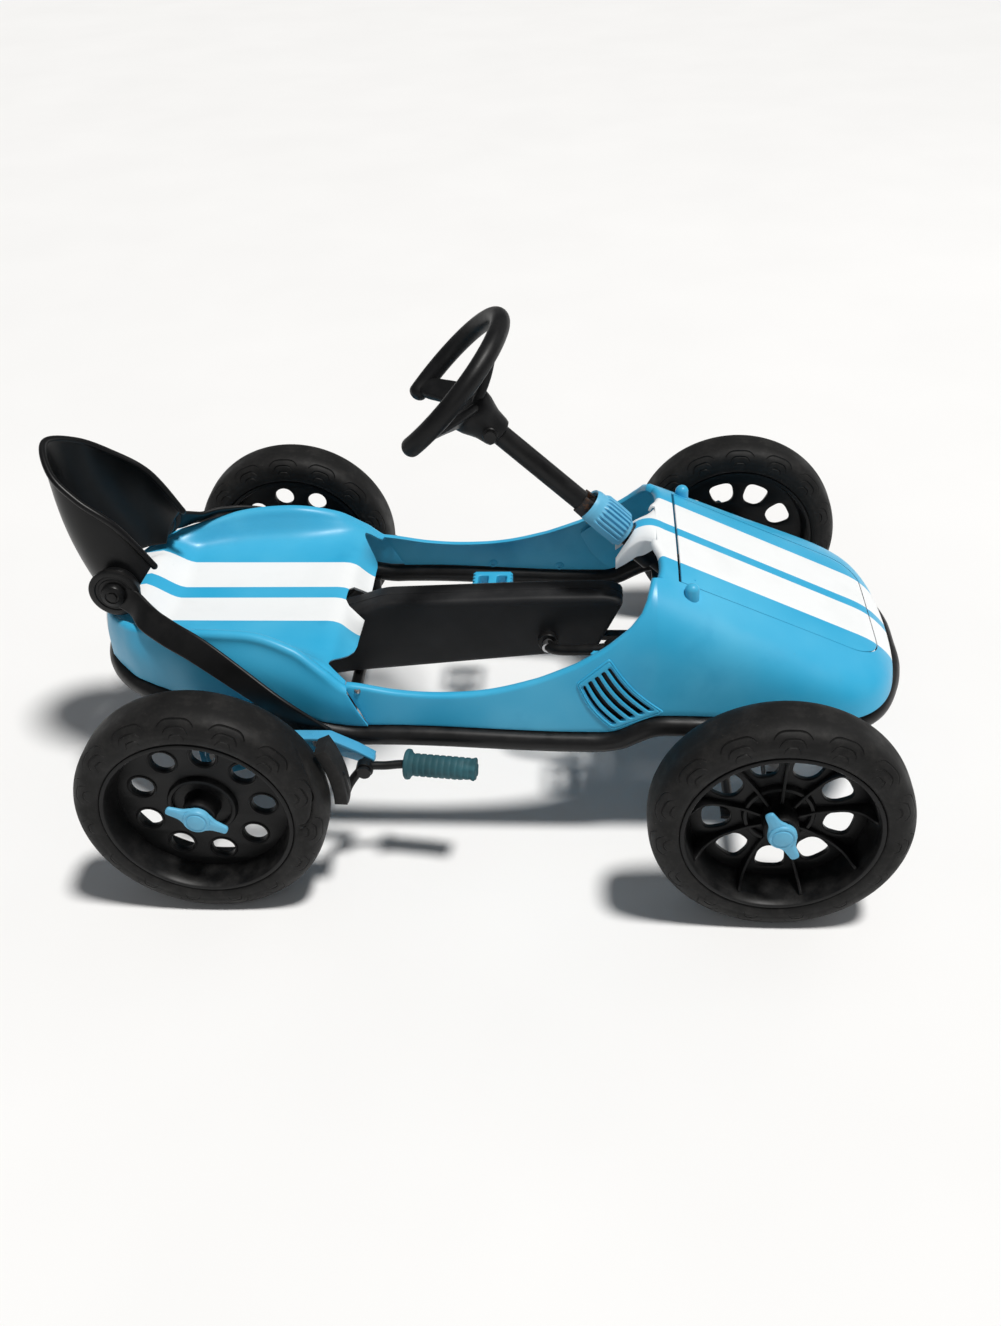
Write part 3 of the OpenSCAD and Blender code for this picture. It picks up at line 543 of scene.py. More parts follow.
def steel(name, rust=0.3, tone=0.50):
    """Plain or rusty steel."""
    s = Shade(name, 0.36, metallic=0.9)
    base = s.blend(s.ramp(s.noise(25, 4), (0.35, 0.0), (0.70, 1.0)), (tone, tone, tone * 1.02),
                   (tone * 0.6, tone * 0.6, tone * 0.6))
    spots = s.ramp(s.noise(60, 7, 0.72), (0.62 - rust * 0.3, 0.0), (0.70, 0.9))
    s.colour(s.blend(spots, base, (0.20, 0.085, 0.035)))
    s.roughness(s.ramp(spots, (0.0, 0.32), (1.0, 0.80)))
    s.bump((s.noise(300, 3, stretch=(1, 0.1, 1)), 0.12, 0.05), (spots, 0.35, 0.15))
    return s.mat


MATERIALS = {
    "shell": blue_plastic("shell_blue_striped", (7.5, 61.0)),
    "seat": blue_plastic("seat_blue_striped", (11.0, 60.0)),
    "blue": blue_plastic("plain_blue"),
    "nut": blue_plastic("light_blue", tones=(PALE, (0.150, 0.480, 0.700), (0.070, 0.340, 0.560)),
                        rough=(0.34, 0.50)),
    "bracket": blue_plastic("bracket_blue", tones=((0.055, 0.330, 0.560), (0.085, 0.390, 0.620),
                                                   (0.030, 0.250, 0.450)), rough=(0.22, 0.36),
                            coat=0.3),
    "frame": black_paint("frame_black"),
    "scoop": black_plastic("scoop_black", 0.0045, 0.14, 0.05, (0.28, 0.40), 0.24),
    "wheel": black_plastic("steering_black", 0.0055, 0.30, 0.10),
    "rim": black_plastic("rim_black", 0.0045, 0.15, 0.25, (0.36, 0.56)),
    "case": black_plastic("case_grey", 0.014, 0.22, 0.12, (0.42, 0.60)),
    "tyre": rubber("tyre_charcoal", tread=True),
    "shoe": rubber("shoe_rubber", 0.014, 0.2),
    "grip": rubber("grip_teal", 0.09, 0.25, (0.28, 0.95, 1.15)),
    "steel": steel("plain_steel", 0.25),
    "rust": steel("rusty_steel", 0.9, 0.32),
    "worn": black_paint("worn_paint", 0.012, 0.3, rusty=0.55),
}

# CAD nodes take the materials of their slots
SLOT_MATERIAL = {
    "frame_black": "frame", "body_blue": "blue", "bracket_blue": "bracket", "black_plastic": "scoop",
    "dark_screw": "frame", "rusty_steel": "rust", "light_blue_plastic": "nut", "plain_steel": "steel",
    "case_grey": "case", "rim_black": "rim", "tyre_rubber": "tyre", "grip_teal": "grip",
    "shoe_rubber": "shoe",
}
node_slot = {s["node"]: s["material_slot"] for s in frame["record"]["subparts"]}
node_body = {n: body for body, nodes in frame["record"]["behaviour"]["bodies"].items() for n in nodes}
for name, obj in frame["nodes"].items():
    obj.data.materials.clear()
    obj.data.materials.append(MATERIALS[SLOT_MATERIAL[node_slot[name]]])
for name in ("body_front", "bonnet_lid"):
    frame["nodes"][name].data.materials[0] = MATERIALS["shell"]
frame["nodes"]["body_seat"].data.materials[0] = MATERIALS["seat"]
frame["nodes"]["brake_pivot_bolt"].data.materials[0] = MATERIALS["frame"]

# ---------- body panels ----------

NOSE_START, NOSE_END = 330.0, 446.0
COWL_X, BODY_REAR = 186.0, -133.0
LID_X0, LID_X1, LID_HALF, LID_CORNER = 212.0, 424.0, 91.0, 34.0
SIDE_TOP = 0.9385
RIM_LINE = [(-133, 189), (-83, 180), (-33, 177), (17, 181), (67, 194), (107, 211), (137, 229),
            (162, 250), (177, 268), (186, 288)]


def sill_z(x):
    """Height of the body's lower edge."""
    return 146 - 8 * ease((x + 90) / 200) + 22 * ease((x - 135) / 58) - 10 * ease((x - 200) / 240)


def rail_z(x):
    """Height of the side rails' middle line."""
    return sill_z(x) - 13 if x > -130 else 133 + 25 * ease((-130 - x) / 100)


def plan(x):
    """Share of the full half width, round the nose."""
    if x <= NOSE_START:
        return 1.0
    return max(0.0, 1 - ((x - NOSE_START) / (NOSE_END - NOSE_START)) ** 3) ** (1 / 3)


def bonnet_line(x):
    """Height of the bonnet on the middle plane."""
    return 284 - 0.476 * (max(x, COWL_X) - LID_X0) - 15 * max(0.0, (x - 402) / 44) ** 2.5


def flank_y(x, z):
    """Half width of the body at a height."""
    u = clamp((z - sill_z(x)) / (bonnet_line(x) - sill_z(x)))
    return RAIL_Y * plan(x) * (1 - u ** 4) ** 0.25 * (1 - 0.107 * u)


def bonnet_z(x, y):
    """Height of the bonnet beside the middle plane."""
    w = RAIL_Y * max(plan(x), 0.02)
    u = 1.0
    for _ in range(3):
        u = max(0.01, 1 - (abs(y) / (w * (1 - 0.107 * u))) ** 4) ** 0.25
    return sill_z(x) + (bonnet_line(x) - sill_z(x)) * u


COWL_EDGE = [(0, 3), (38, 3), (46, 6), (54, 9), (64, 10.5), (78, 10.5), (90, 8.5), (108, 5), (124, 2),
             (140, 0), (170, 0)]


def cowl_shift(y):
    """How far the cowl's rear edge lies ahead of its plain line: a rounded notch on each side of the hood."""
    return along(COWL_EDGE, min(abs(y), 169.0))


def lid_half(x, grow):
    """Half width of the lid, or of its opening when it grows."""
    over = max(0.0, x - LID_X1 + LID_CORNER) / (LID_CORNER + grow)
    return LID_HALF + grow - LID_CORNER * (1 - sqrt(max(0.0, 1 - over * over)))


def lid_loop(grow, rear=0.0):
    xs = [LID_X0 - rear] + [LID_X1 - LID_CORNER + (LID_CORNER + grow) * sin(pi / 2 * k / 14) for k in range(15)]
    side = [(x, lid_half(x, grow)) for x in xs]
    return side + [(x, -y) for x, y in side[::-1]]


def cutter(name, loop, place, depth):
    """A prism for cutting: loop in 2-D, carried to the row frame by place(u, v, w)."""
    n = len(loop)
    verts = [place(u, v, w) for w in (0, depth) for u, v in loop]
    faces = [tuple(range(n)), tuple(range(n, 2 * n))] + [(k, (k + 1) % n, n + (k + 1) % n,
                                                          n + k) for k in range(n)]
    mesh = bpy.data.meshes.new(name)
    mesh.from_pydata([(Vector(v) * MM)[:] for v in verts], [], faces)
    tidy_normals(mesh)
    obj = bpy.data.objects.new(name, mesh)
    bpy.context.scene.collection.objects.link(obj)
    return obj


def cut(obj, cutters, smooth=40):
    for tool in cutters:
        mod = obj.modifiers.new("cut", "BOOLEAN")
        mod.operation, mod.solver, mod.object = "DIFFERENCE", "EXACT", tool
    apply_modifiers(obj, smooth)
    for tool in cutters:
        mesh = tool.data
        bpy.data.objects.remove(tool)
        bpy.data.meshes.remove(mesh)
    return obj


LOUVRE = [(107, 195), (139, 221), (192, 165), (143, 143)]


def louvre_point(s, t):
    """Point of the louvre panel; s runs down its long way, t across from its rear side."""
    a, b, c, d = (Vector((*q, 0)) for q in (LOUVRE[0], LOUVRE[1], LOUVRE[2], LOUVRE[3]))
    p = a * (1 - s) * (1 - t) + b * (1 - s) * t + c * s * t + d * s * (1 - t)
    bow = Vector((-0.62, -0.5, 0)) * 6 * sin(pi * s)
    return p + bow


def louvre_loop(s0, s1, t0, t1, radius, n=10):
    side = [louvre_point(mix(s0, s1, k / n), t0) for k in range(n + 1)]
    other = [louvre_point(mix(s0, s1, k / n), t1) for k in range(n + 1)][::-1]
    pts = [(p.x, p.y) for p in side + other]
    return corner_loop(pts, radius, 3)


SEAM_LEAN = 0.48
LIP = [(1.1, 0.1), (2.5, 0.6), (3.7, 1.7), (4.4, 3.3), (4.6, 5.4), (4.4, 8.0)]


def body_normal(x, y, z):
    """Outward normal of the body's outer face."""
    def level(a, b, c):
        u = (c - sill_z(a)) / (bonnet_line(a) - sill_z(a))
        return (abs(b) / (RAIL_Y * plan(a) * (1 - 0.107 * u))) ** 4 + max(u, 0.0) ** 4

    e = 0.5
    return Vector((level(x + e, y, z) - level(x - e, y, z), level(x, y + e, z) - level(x, y - e, z),
                   level(x, y, z + e) - level(x, y, z - e))).normalized()


def front_shell():
    """The moulded body ahead of the seat: two flanks, the bonnet, a folded lip and the louvres."""
    sides, tops = 15, 96
    rear = [BODY_REAR + (COWL_X - BODY_REAR) * k / 56 for k in range(56)]
    ahead = [186, 187, 188.5, 190.5, 193, 196, 199, 202.5, 206, 210, 215, 220, 226, 232, 239, 247, 256, 266,
             276, 286, 296,
             306, 316, 324]
    ahead += [NOSE_START + (NOSE_END - NOSE_START) * sin(pi / 2 * k / 26) ** (2 / 3) for k in range(27)]
    verts, faces = [], []
    index = {}

    def vert(key, p):
        index[key] = len(verts)
        verts.append(p)

    def quad(*keys):
        if all(k in index for k in keys):
            faces.append(tuple(index[k] for k in keys))

    for i, x in enumerate(rear + ahead):
        behind = x < COWL_X
        top = along(RIM_LINE, x) if behind else sill_z(x) + (bonnet_line(x) - sill_z(x)) * SIDE_TOP
        for s in (1, -1):
            for j in range(sides + 1):
                z = mix(sill_z(x), top, j / sides)
                px = x + SEAM_LEAN * (188 - z) * clamp((x + 60) / -73)
                vert((i, s, j), (px, s * flank_y(px, z), z))
    first = len(rear)
    rows = len(rear) + len(ahead)
    for i, x in enumerate(ahead):
        edge = flank_y(x, sill_z(x) + (bonnet_line(x) - sill_z(x)) * SIDE_TOP)
        for k in range(tops + 1):
            y = edge * (1 - 2 * k / tops)
            if k in (0, tops):
                index[(first + i, 0, k)] = index[(first + i, 1 if k == 0 else -1, sides)]
                continue
            px = x + cowl_shift(y) * max(0.0, 1 - (x - COWL_X) / 44) ** 2
            vert((first + i, 0, k), (px, y, bonnet_z(px, y)))
    for i in range(rows - 1):
        for s in (1, -1):
            for j in range(sides):
                quad((i, s, j), (i + 1, s, j), (i + 1, s, j + 1), (i, s, j + 1))
    for i in range(first, rows - 1):
        for k in range(tops):
            quad((i, 0, k), (i + 1, 0, k), (i + 1, 0, k + 1), (i, 0, k + 1))
    for s in (1, -1):
        columns = range(tops // 2) if s > 0 else range(tops, tops // 2, -1)
        keys = [(i, s, sides) for i in range(first)] + [(first, 0,
                                                         k) for k in columns if abs(verts[index[(first, 0,
                                                                 k)]][1]) > 34]
        line = [Vector(verts[index[k]]) for k in keys]
        previous = keys[0:0]
        for m, (key, p) in enumerate(zip(keys, line)):
            t = (line[min(m + 1, len(line) - 1)] - line[max(m - 1, 0)]).normalized()
            n = body_normal(*p)
            d = n.cross(t).normalized()
            if d.dot(Vector((-0.5, 0, 1))) < 0:
                d = -d
            for c, (a, b) in enumerate(LIP):
                vert((s, m, "lip", c), p + d * a - n * b)
            chain = [key] + [(s, m, "lip", c) for c in range(len(LIP))]
            if previous:
                for c in range(len(LIP)):
                    quad(previous[c], chain[c], chain[c + 1], previous[c + 1])
            previous = chain
    shell = new_mesh("shell_front", verts, faces, "shell")
    thicken(shell, 2.4, 0.9, 2, even=False)
    tools = [cutter("lid_cut", lid_loop(0.8, 3.0), lambda u, v, w: (u, v, 150 + w), 200)]
    for s in (1, -1):
        tools.append(cutter("louvre_cut", louvre_loop(0.08, 0.92, 0.08, 0.92, 4),
                            lambda u, v, w, s=s: (u, s * (120 + w), v), 60))
    cut(shell, tools)
    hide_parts("body_front")
    for s, side in SIDES:
        def beside(u, v, w, depth, s=s):
            return u, s * (flank_y(u, max(v, sill_z(u))) - depth + w), v

        slots = [louvre_loop(0.07, 0.93, (k + 0.22) / 5, (k + 0.80) / 5, 2.4) for k in range(5)]
        grille = plate("louvre_" + side, [louvre_loop(0, 1, 0, 1, 6)] + slots, 3.0, 1.0,
                       lambda u, v, w: beside(u, v, w, 1.4), "blue")
        ridge = louvre_loop(-0.03, 1.03, -0.04, 1.04, 7)
        inner = louvre_loop(0.0, 1.0, 0.0, 1.0, 6)
        border = plate("louvre_border_" + side, [ridge, inner], 2.6, 0.9, lambda u, v,
                       w: beside(u, v, w, 1.2), "blue")
        # A black sheet just behind the slots: painted shade, standing for the shadowed inside seen through the
        # louvres.
        painted_shade_sheet = plate("louvre_gauze_" + side, [louvre_loop(0.03, 0.97, 0.03, 0.97, 5)], 1.0, 0.2,
                      lambda u, v, w: beside(u, v, w, 5.0), "scoop")
        cover = plate("louvre_cover_" + side, [louvre_loop(-0.02, 1.02, -0.02, 1.02, 6)], 1.2, 0.3,
                      lambda u, v, w: beside(u, v, w, 6.6), "blue")


HOOD = [(146, 260, 20, 2, 8), (153, 273, 21.5, 3, 15), (159, 283, 22, 4.5, 19), (164, 290, 22, 6.5, 20),
        (169, 294, 22, 7, 20),
        (175, 296.3, 23.5, 7, 20), (182, 296.9, 28.5, 6.0, 14), (188, 295.5, 36, 3.6, 6),
        (193, 293.4, 44, 2.0, 3),
        (197, 291.2, 50, 1.2, 2.4), (202, 288.0, 54, 1.0, 2)]


def hood():
    """The cowl's hood over the column, with a skirt along both edges and a slot for the column."""
    rows = smooth_path([(a, b, c) for a, b, c, _, _ in HOOD], 4)
    falls = smooth_path([(a, d, e) for a, _, _, d, e in HOOD], 4)
    out = []
    for (x, crown, half), (_, fall, skirt) in zip(rows, falls):
        arch = [(0, crown), (half * 0.3, crown - fall * 0.08), (half * 0.6, crown - fall * 0.32),
                (half * 0.85, crown - fall * 0.72),
                (half * 0.98, crown - fall * 1.1), (half + 0.8, crown - fall - 0.15 * skirt),
                (half + 1.0, crown - fall - 0.55 * skirt),
                (half + 0.6, crown - fall - skirt)]
        curve = smooth_path([(0, y, z) for y, z in arch], 4)
        side = [(x, v.y, v.z) for v in curve]
        out.append([(a, -b, c) for a, b, c in side[::-1]] + side[1:])
    top = new_mesh("hood_skin", [p for r in out for p in r], grid_faces(len(out), len(out[0])), "shell",
                   smooth=60)
    thicken(top, 2.6, 1.1, 3, smooth=60)
    end, half = 155, 13
    slot = [(140, -half), (end, -half)]
    slot += [(end + half * sin(pi * k / 16), -half * cos(pi * k / 16)) for k in range(1, 16)]
    slot += [(end, half), (140, half)]
    cut(top, [cutter("slot_cut", slot, lambda u, v, w: (u, v, 230 + w), 90)], smooth=60)


def lid():
    """The bonnet lid."""
    xs = [LID_X0, 213, 216, 222, 234, 250, 270, 290, 310, 330, 350, 366, 378]
    xs += [LID_X1 - LID_CORNER + LID_CORNER * sin(pi / 2 * k / 16) for k in range(16)]
    lines = 36
    rows = []
    for x in xs:
        rows.append([(x, lid_half(x, 0) * (1 - 2 * k / lines),
                      bonnet_z(x, lid_half(x, 0) * (1 - 2 * k / lines)))
                     for k in range(lines + 1)])
    panel = new_mesh("lid_skin", [p for r in rows for p in r], grid_faces(len(rows), lines + 1), "shell",
                     "lid")
    thicken(panel, 2.4, 0.7, 3)
    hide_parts("bonnet_lid")


EDGE_Y = [(-424, 12), (-418, 34), (-408, 58), (-394, 80), (-370, 102), (-343, 114), (-303, 128), (-263, 134),
          (-223, 138), (-183, 146), (-153, 154), (-133, 157)]
EDGE_Z = [(-424, 211), (-418, 215), (-408, 220), (-394, 224), (-370, 229), (-343, 233), (-303, 239),
          (-263, 242),
          (-223, 240), (-183, 227), (-153, 205), (-133, 188)]
FOOT_Y = [(-424, 22), (-418, 44), (-408, 66), (-394, 84), (-370, 108), (-343, 124), (-303, 142), (-263, 150),
          (-223, 155), (-183, 158), (-153, 160), (-133, 160)]


def pan_z(x):
    """Height of the seat pan on the middle plane."""
    return 205 - 12 * ease((x + 165) / 35) + 20 * ease((-340 - x) / 44)


def seat_half(x):
    """Half section of the seat shell from its foot, over the edge and down to the middle."""
    ey, ez, fy, fz = along(EDGE_Y, x), along(EDGE_Z, x), along(FOOT_Y, x), rail_z(x) + 13
    pz = min(ez - 3, pan_z(x))
    k = clamp(ey / 95)
    control = [(fy, fz), (mix(fy, ey, 0.35) + 1.5, mix(fz, ez, 0.5)), (ey + 1, mix(fz, ez, 0.85)),
               (ey - 1.0, ez - 1.8), (ey - 4.5 * k, ez), (ey - 9 * k, ez - 2.2),
               (ey - 14 * k, mix(ez, pz, 0.30)),
               (ey - 24 * k, mix(ez, pz, 0.68)), (ey - 40 * k, mix(ez, pz, 0.86)), (ey * 0.45, pz + 2.6),
               (ey * 0.22, pz + 0.6), (0, pz)]
    return [(v.x, v.y) for v in smooth_path([(a, b, 0) for a, b in control], 5)]


def seat_front_x(y):
    """Where the seat's front edge lies, for a point |y| from the middle."""
    a = abs(y)
    return -128 - 22 * (1 - ease((a - 15) / 12)) - 21 * ease((a - 76) / 56) + 18 * ease((a - 133) / 6)


def seat_shell():
    """The seat moulding, from its closed tail to the slanted seam with the front shell."""
    tail = [-426, -425.9, -425.6, -424.8, -423, -420.5, -417, -413, -408, -402, -395, -387]
    xs = tail + [-378 + (378 - 160) * k / 36 for k in range(37)]
    last = 9
    verts, cols = [], None
    for x in xs:
        half = seat_half(max(x, -424))
        f = sqrt(clamp((x + 426) / 2.0)) if x < -424 else 1.0
        row = [(x, y * f, z) for y, z in half] + [(x, -y * f, z) for y, z in half[:-1][::-1]]
        cols = len(row)
        verts += row
    for r in range(1, last + 1):
        base = seat_half(-160)
        signs = [1] * len(base) + [-1] * (len(base) - 1)
        mirrored = base + base[:-1][::-1]
        count = len(base)
        for j, ((y, z), s) in enumerate(zip(mirrored, signs)):
            end = -133.4 if (j < count * 0.42 or j > cols - count * 0.42) else min(-133.4,
                                                                                   seat_front_x(y) - 5)
            x = mix(-160, end, r / last)
            half = seat_half(x)
            q = half[j] if j < count else half[cols - 1 - j]
            lean = SEAM_LEAN * (188 - min(q[1], 188)) * r / last if q[0] > 150 else 0.0
            verts.append((x + lean, s * q[0], q[1] if q[1] > 170 else max(q[1], rail_z(x + lean) + 12.5)))
    shell = new_mesh("shell_seat", verts, grid_faces(len(xs) + last, cols), "seat")
    thicken(shell, 2.6, 1.0, 3, even=False, side=1.0)
    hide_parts("body_seat")


# ---------- seat back and arms ----------

BACK_RIM = [(-346, 60, 281), (-376, 62, 329), (-413, 57, 358), (-442, 40, 381), (-458, 0, 398)]
BACK_FOOT = [(-374, 67, 233), (-396, 63, 232), (-411, 48, 231), (-421, 26, 230), (-425, 0, 230)]
PIVOT = Vector((-384, 0, 262))


def seat_scoop():
    """The seat back: a bent sheet with a rolled lip and an ear on each side."""
    rim, foot = smooth_path(whole(BACK_RIM), 10), smooth_path(whole(BACK_FOOT), 10)
    rows = 22
    verts = []
    for i in range(len(rim)):
        for j in range(rows + 1):
            v = j / rows
            p = foot[i].lerp(rim[i], v)
            out = Vector((p.x + 330, p.y * 0.9, 0)).normalized()
            verts.append(p + out * (9 * sin(pi * v) - 0.3))
    faces = grid_faces(len(rim), rows + 1)
    scoop = new_mesh("scoop", verts, faces, "scoop", "back_rest")
    thicken(scoop, 4.6, 1.4, 3)
    lip = sweep("scoop_lip", [p + Vector((1.6, -0.02 * p.y, -1.5)) for p in rim], disc(3.7, 16), "scoop",
                "back_rest",
                up=(-0.4, 0, 1), round_ends=3.7)
    parts = [scoop, lip]
    for s in (1, -1):
        profile = [(6.1, 8.5), (20, 8.5), (23.4, 9.5), (24, 11), (24, 16), (23.2, 18.2), (21.5, 19.4),
                   (18, 19.6), (17, 18.2),
                   (15.5, 18.2), (14.5, 19.4), (9, 19.5), (6.1, 19.5)]
        parts.append(lathe("ear", profile, (PIVOT.x, s * 60, PIVOT.z), (0, s, 0), "scoop", "back_rest",
                           closed=True))
    body = join("seat_scoop", parts)
    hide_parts("seat_back")


ARM_PATH = [(-384, 83.5, 262), (-364, 88, 252), (-345, 107, 244), (-318, 127.5, 239.5), (-280, 145, 226),
            (-205, 171, 180),
            (-160, 178, 146)]
ARM_LEAN = [0, 0.4, 1.15, 0.95, 0.5, 0, 0]


def seat_arms():
    """Flat bars from the seat back's pivots down to the frame."""
    for s, side in SIDES:
        path = smooth_path([(x, s * y, z) for x, y, z in ARM_PATH], 10)
        lean = [v.x for v in smooth_path([(a, 0, 0) for a in ARM_LEAN], 10)]
        section = soft_bar(4.8, 28, 2.0)
        out = []
        for i, a in enumerate(lean):
            p, t, side_way, top = frames(path, (0, -s * a, 1))[i]
            out.append([p + side_way * q[0] + top * q[1] for q in section])
        bar = rings("arm", out, "frame")
        ring = lathe("arm_disc", [(6.2, 0.1), (26, 0.1), (27.6, 1.2), (27.6, 4.8), (26, 5.9), (21, 5.9),
                                  (20, 4.9), (17.5, 4.9),
                                  (16.5, 5.9), (6.2, 5.9)], (PIVOT.x, s * 80, PIVOT.z), (0, s, 0), "frame",
                     closed=True)
        foot = lathe("arm_foot", washer(4.1, 13.8, 0, 5, 1.2), (ARM_PATH[-1][0], s * 175.5, ARM_PATH[-1][2]),
                     (0, s, 0),
                     "frame", n=40, closed=True)
        arm = join("arm_" + side, [bar, ring, foot])
        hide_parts("seat_arm_" + side)


def bolts():
    """Bolts at both ends of the seat arms."""
    for k, s in enumerate((1, -1)):
        tag = "left" if s > 0 else "right"
        cap = lathe("cap", [(0, 72), (6, 72), (6, 86.3), (13, 86.3), (13, 90.5), (12, 92.2), (9.2, 93.2),
                            (7.6, 93.6), (7.2, 92.6),
                            (0, 92.2)], (PIVOT.x, 0, PIVOT.z), (0, s, 0), "scoop", n=48)
        hexagon = plate("hex", [circle(5.6, 6)], 2.4, 0.5, lambda u, v, w,
                        s=s: (PIVOT.x + u, s * (91.6 + w), PIVOT.z + v),
                        "frame")
        low = lathe("low", [(0, 164), (4, 164), (4, 188.2), (7, 188.2), (7, 190.6), (5.6, 192.4), (0, 193)],
                    (-160, 0, 146), (0, s, 0),
                    "steel", n=32)
        bolt = join("arm_bolts_" + tag, [cap, hexagon, low])
    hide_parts("seat_pivot_bolts")


# ---------- frame tubes ----------

NOSE_CORNER = [(332, RAIL_Y), (366, 153), (396, 138), (420, 115), (437, 78), (446, 40)]
TAIL_CORNER = [(-250, 153), (-300, 142), (-345, 123), (-380, 98), (-403, 68), (-416, 34)]


def at_rail(points):
    return [(x, y, rail_z(x)) for x, y in points]


def frame_tubes():
    """Hoops, side rails and the bowed crossmember."""
    tube = disc(11, 28)
    for name, half, end in (("nose_hoop", NOSE_CORNER, (447, 0)), ("tail_hoop", TAIL_CORNER, (-419, 0))):
        path = smooth_path(whole(at_rail(half + [end])), 6)
        hoop = sweep("tube_" + name, path, tube, "frame")
        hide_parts("frame_" + name)
    for s, side in SIDES:
        pts = at_rail([TAIL_CORNER[0], (-210, 157.5), (-165, 159.6)])
        pts += [(x, RAIL_Y, rail_z(x)) for x in range(-130, 131, 20)] + [(x, RAIL_Y,
                rail_z(x)) for x in range(150, 226, 15)]
        pts += [(280, RAIL_Y, rail_z(280)), (332, RAIL_Y, rail_z(332))]
        rail = sweep("tube_rail_" + side, smooth_path([(x, s * y, z) for x, y, z in pts], 3), tube, "frame")
        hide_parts("frame_rail_" + side)
    half = [(-150, 148.5, 132), (-150, 142, 114), (-150, 126, 102), (-150, 100, 100)]
    path = smooth_path([Vector(q) for q in half] + mirror_y(half)[::-1], 8)
    bow = sweep("tube_cross", path, disc(7, 24), "frame", up=(1, 0, 0))
    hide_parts("crossmember_middle")


front_shell()
hood()
lid()
seat_shell()
seat_scoop()
seat_arms()
bolts()
frame_tubes()


# ---------- wheels ----------

TYRE_HALF = [(0, 127.0), (8, 126.9), (15, 126.2), (21, 124.3), (26, 120.8), (29.2, 116.0), (30.7, 110.2),
             (31, 104.5),
             (30.4, 100.6), (29.2, 98.2), (27.8, 97.0)]
SPLIT_PATH = [(68, 6), (55, 13), (42, 19), (30, 23), (19, 29), (6, 34), (-10, 45)]
SIDE_CRACK = [(8, 34), (0, 39), (-3, 46), (-16, 47)]


def tyre_section():
    """Points of the outer skin from bead to bead, with their distance from the middle of the tread."""
    half = smooth_path([(w, r, 0) for w, r in TYRE_HALF], 12)
    length = [0.0]
    for a, b in zip(half, half[1:]):
        length.append(length[-1] + (b - a).length)
    count = 38
    out, k = [], 0
    for i in range(count + 1):
        goal = length[-1] * i / count
        while k < len(length) - 2 and length[k + 1] < goal:
            k += 1
        t = (goal - length[k]) / (length[k + 1] - length[k])
        p = half[k].lerp(half[k + 1], clamp(t))
        d = (half[k + 1] - half[k]).normalized()
        out.append((p.x, p.y, goal, -d.y, d.x))
    back = [(-w, r, -v, -nw, nr) for w, r, v, nw, nr in out[1:]][::-1]
    return back + out


def near_path(u, v, path):
    """Distance from a point to a broken line, which side of it, and how far along it the foot lies."""
    best, side, share = 1e9, 1.0, 0.0
    for i, ((a, b), (c, d)) in enumerate(zip(path, path[1:])):
        du, dv = c - a, d - b
        t = clamp(((u - a) * du + (v - b) * dv) / (du * du + dv * dv))
        gap = hypot(u - a - du * t, v - b - dv * t)
        if gap < best:
            best, share = gap, (i + t) / (len(path) - 1)
            side = copysign(1.0, du * (v - b) - dv * (u - a))
    return best, side, share


def split_shape(u, v):
    """The worn split in the near rear tyre, as a height."""
    gap, side, share = near_path(u, v, SPLIT_PATH)
    taper = sin(pi * clamp(share, 0.04, 0.96)) ** 0.5
    depth = -4.2 * taper * exp(-(gap / 1.7) ** 2)
    lift = (1.6 if side < 0 else -1.3) * taper * exp(-(gap / 9) ** 2)
    crack, _, along_crack = near_path(u, v, SIDE_CRACK)
    return depth + lift - 1.6 * exp(-(crack / 0.9) ** 2) * sin(pi * clamp(along_crack, 0.1, 0.9))


def tyre(name, x, y, body, node, shift, split=False):
    section = tyre_section()
    around = 720
    s = 1 if y > 0 else -1
    verts = []
    for i in range(around):
        a = tau * i / around
        u = a * 120.0
        du = u if u < pi * 120 else u - tau * 120
        for w, r, v, nw, nr in section:
            d = 0.35 * sin(3 * a + shift) * clamp((abs(v) - 20) / 20)
            d -= 0.5 * exp(-((abs(v) - 41.5) / 0.8) ** 2)
            if split and w > -5 and -40 < du < 90:
                d += split_shape(du, v)
            verts.append((x + (r + d * nr) * cos(a), y + s * (w + d * nw), AXLE_Z + (r + d * nr) * sin(a)))
        for w in (25, -25):
            verts.append((x + 96 * cos(a), y + s * w, AXLE_Z + 96 * sin(a)))
    cols = len(section) + 2
    faces = [(i * cols + j, i * cols + (j + 1) % cols, (i + 1) % around * cols + (j + 1) % cols,
              (i + 1) % around * cols + j)
             for i in range(around) for j in range(cols)]
    obj = new_mesh(name, verts, faces, "tyre", body, smooth=70, centre=(x, y, AXLE_Z))
    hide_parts(node)


HOLES, HOLE_R = 9, 62.0


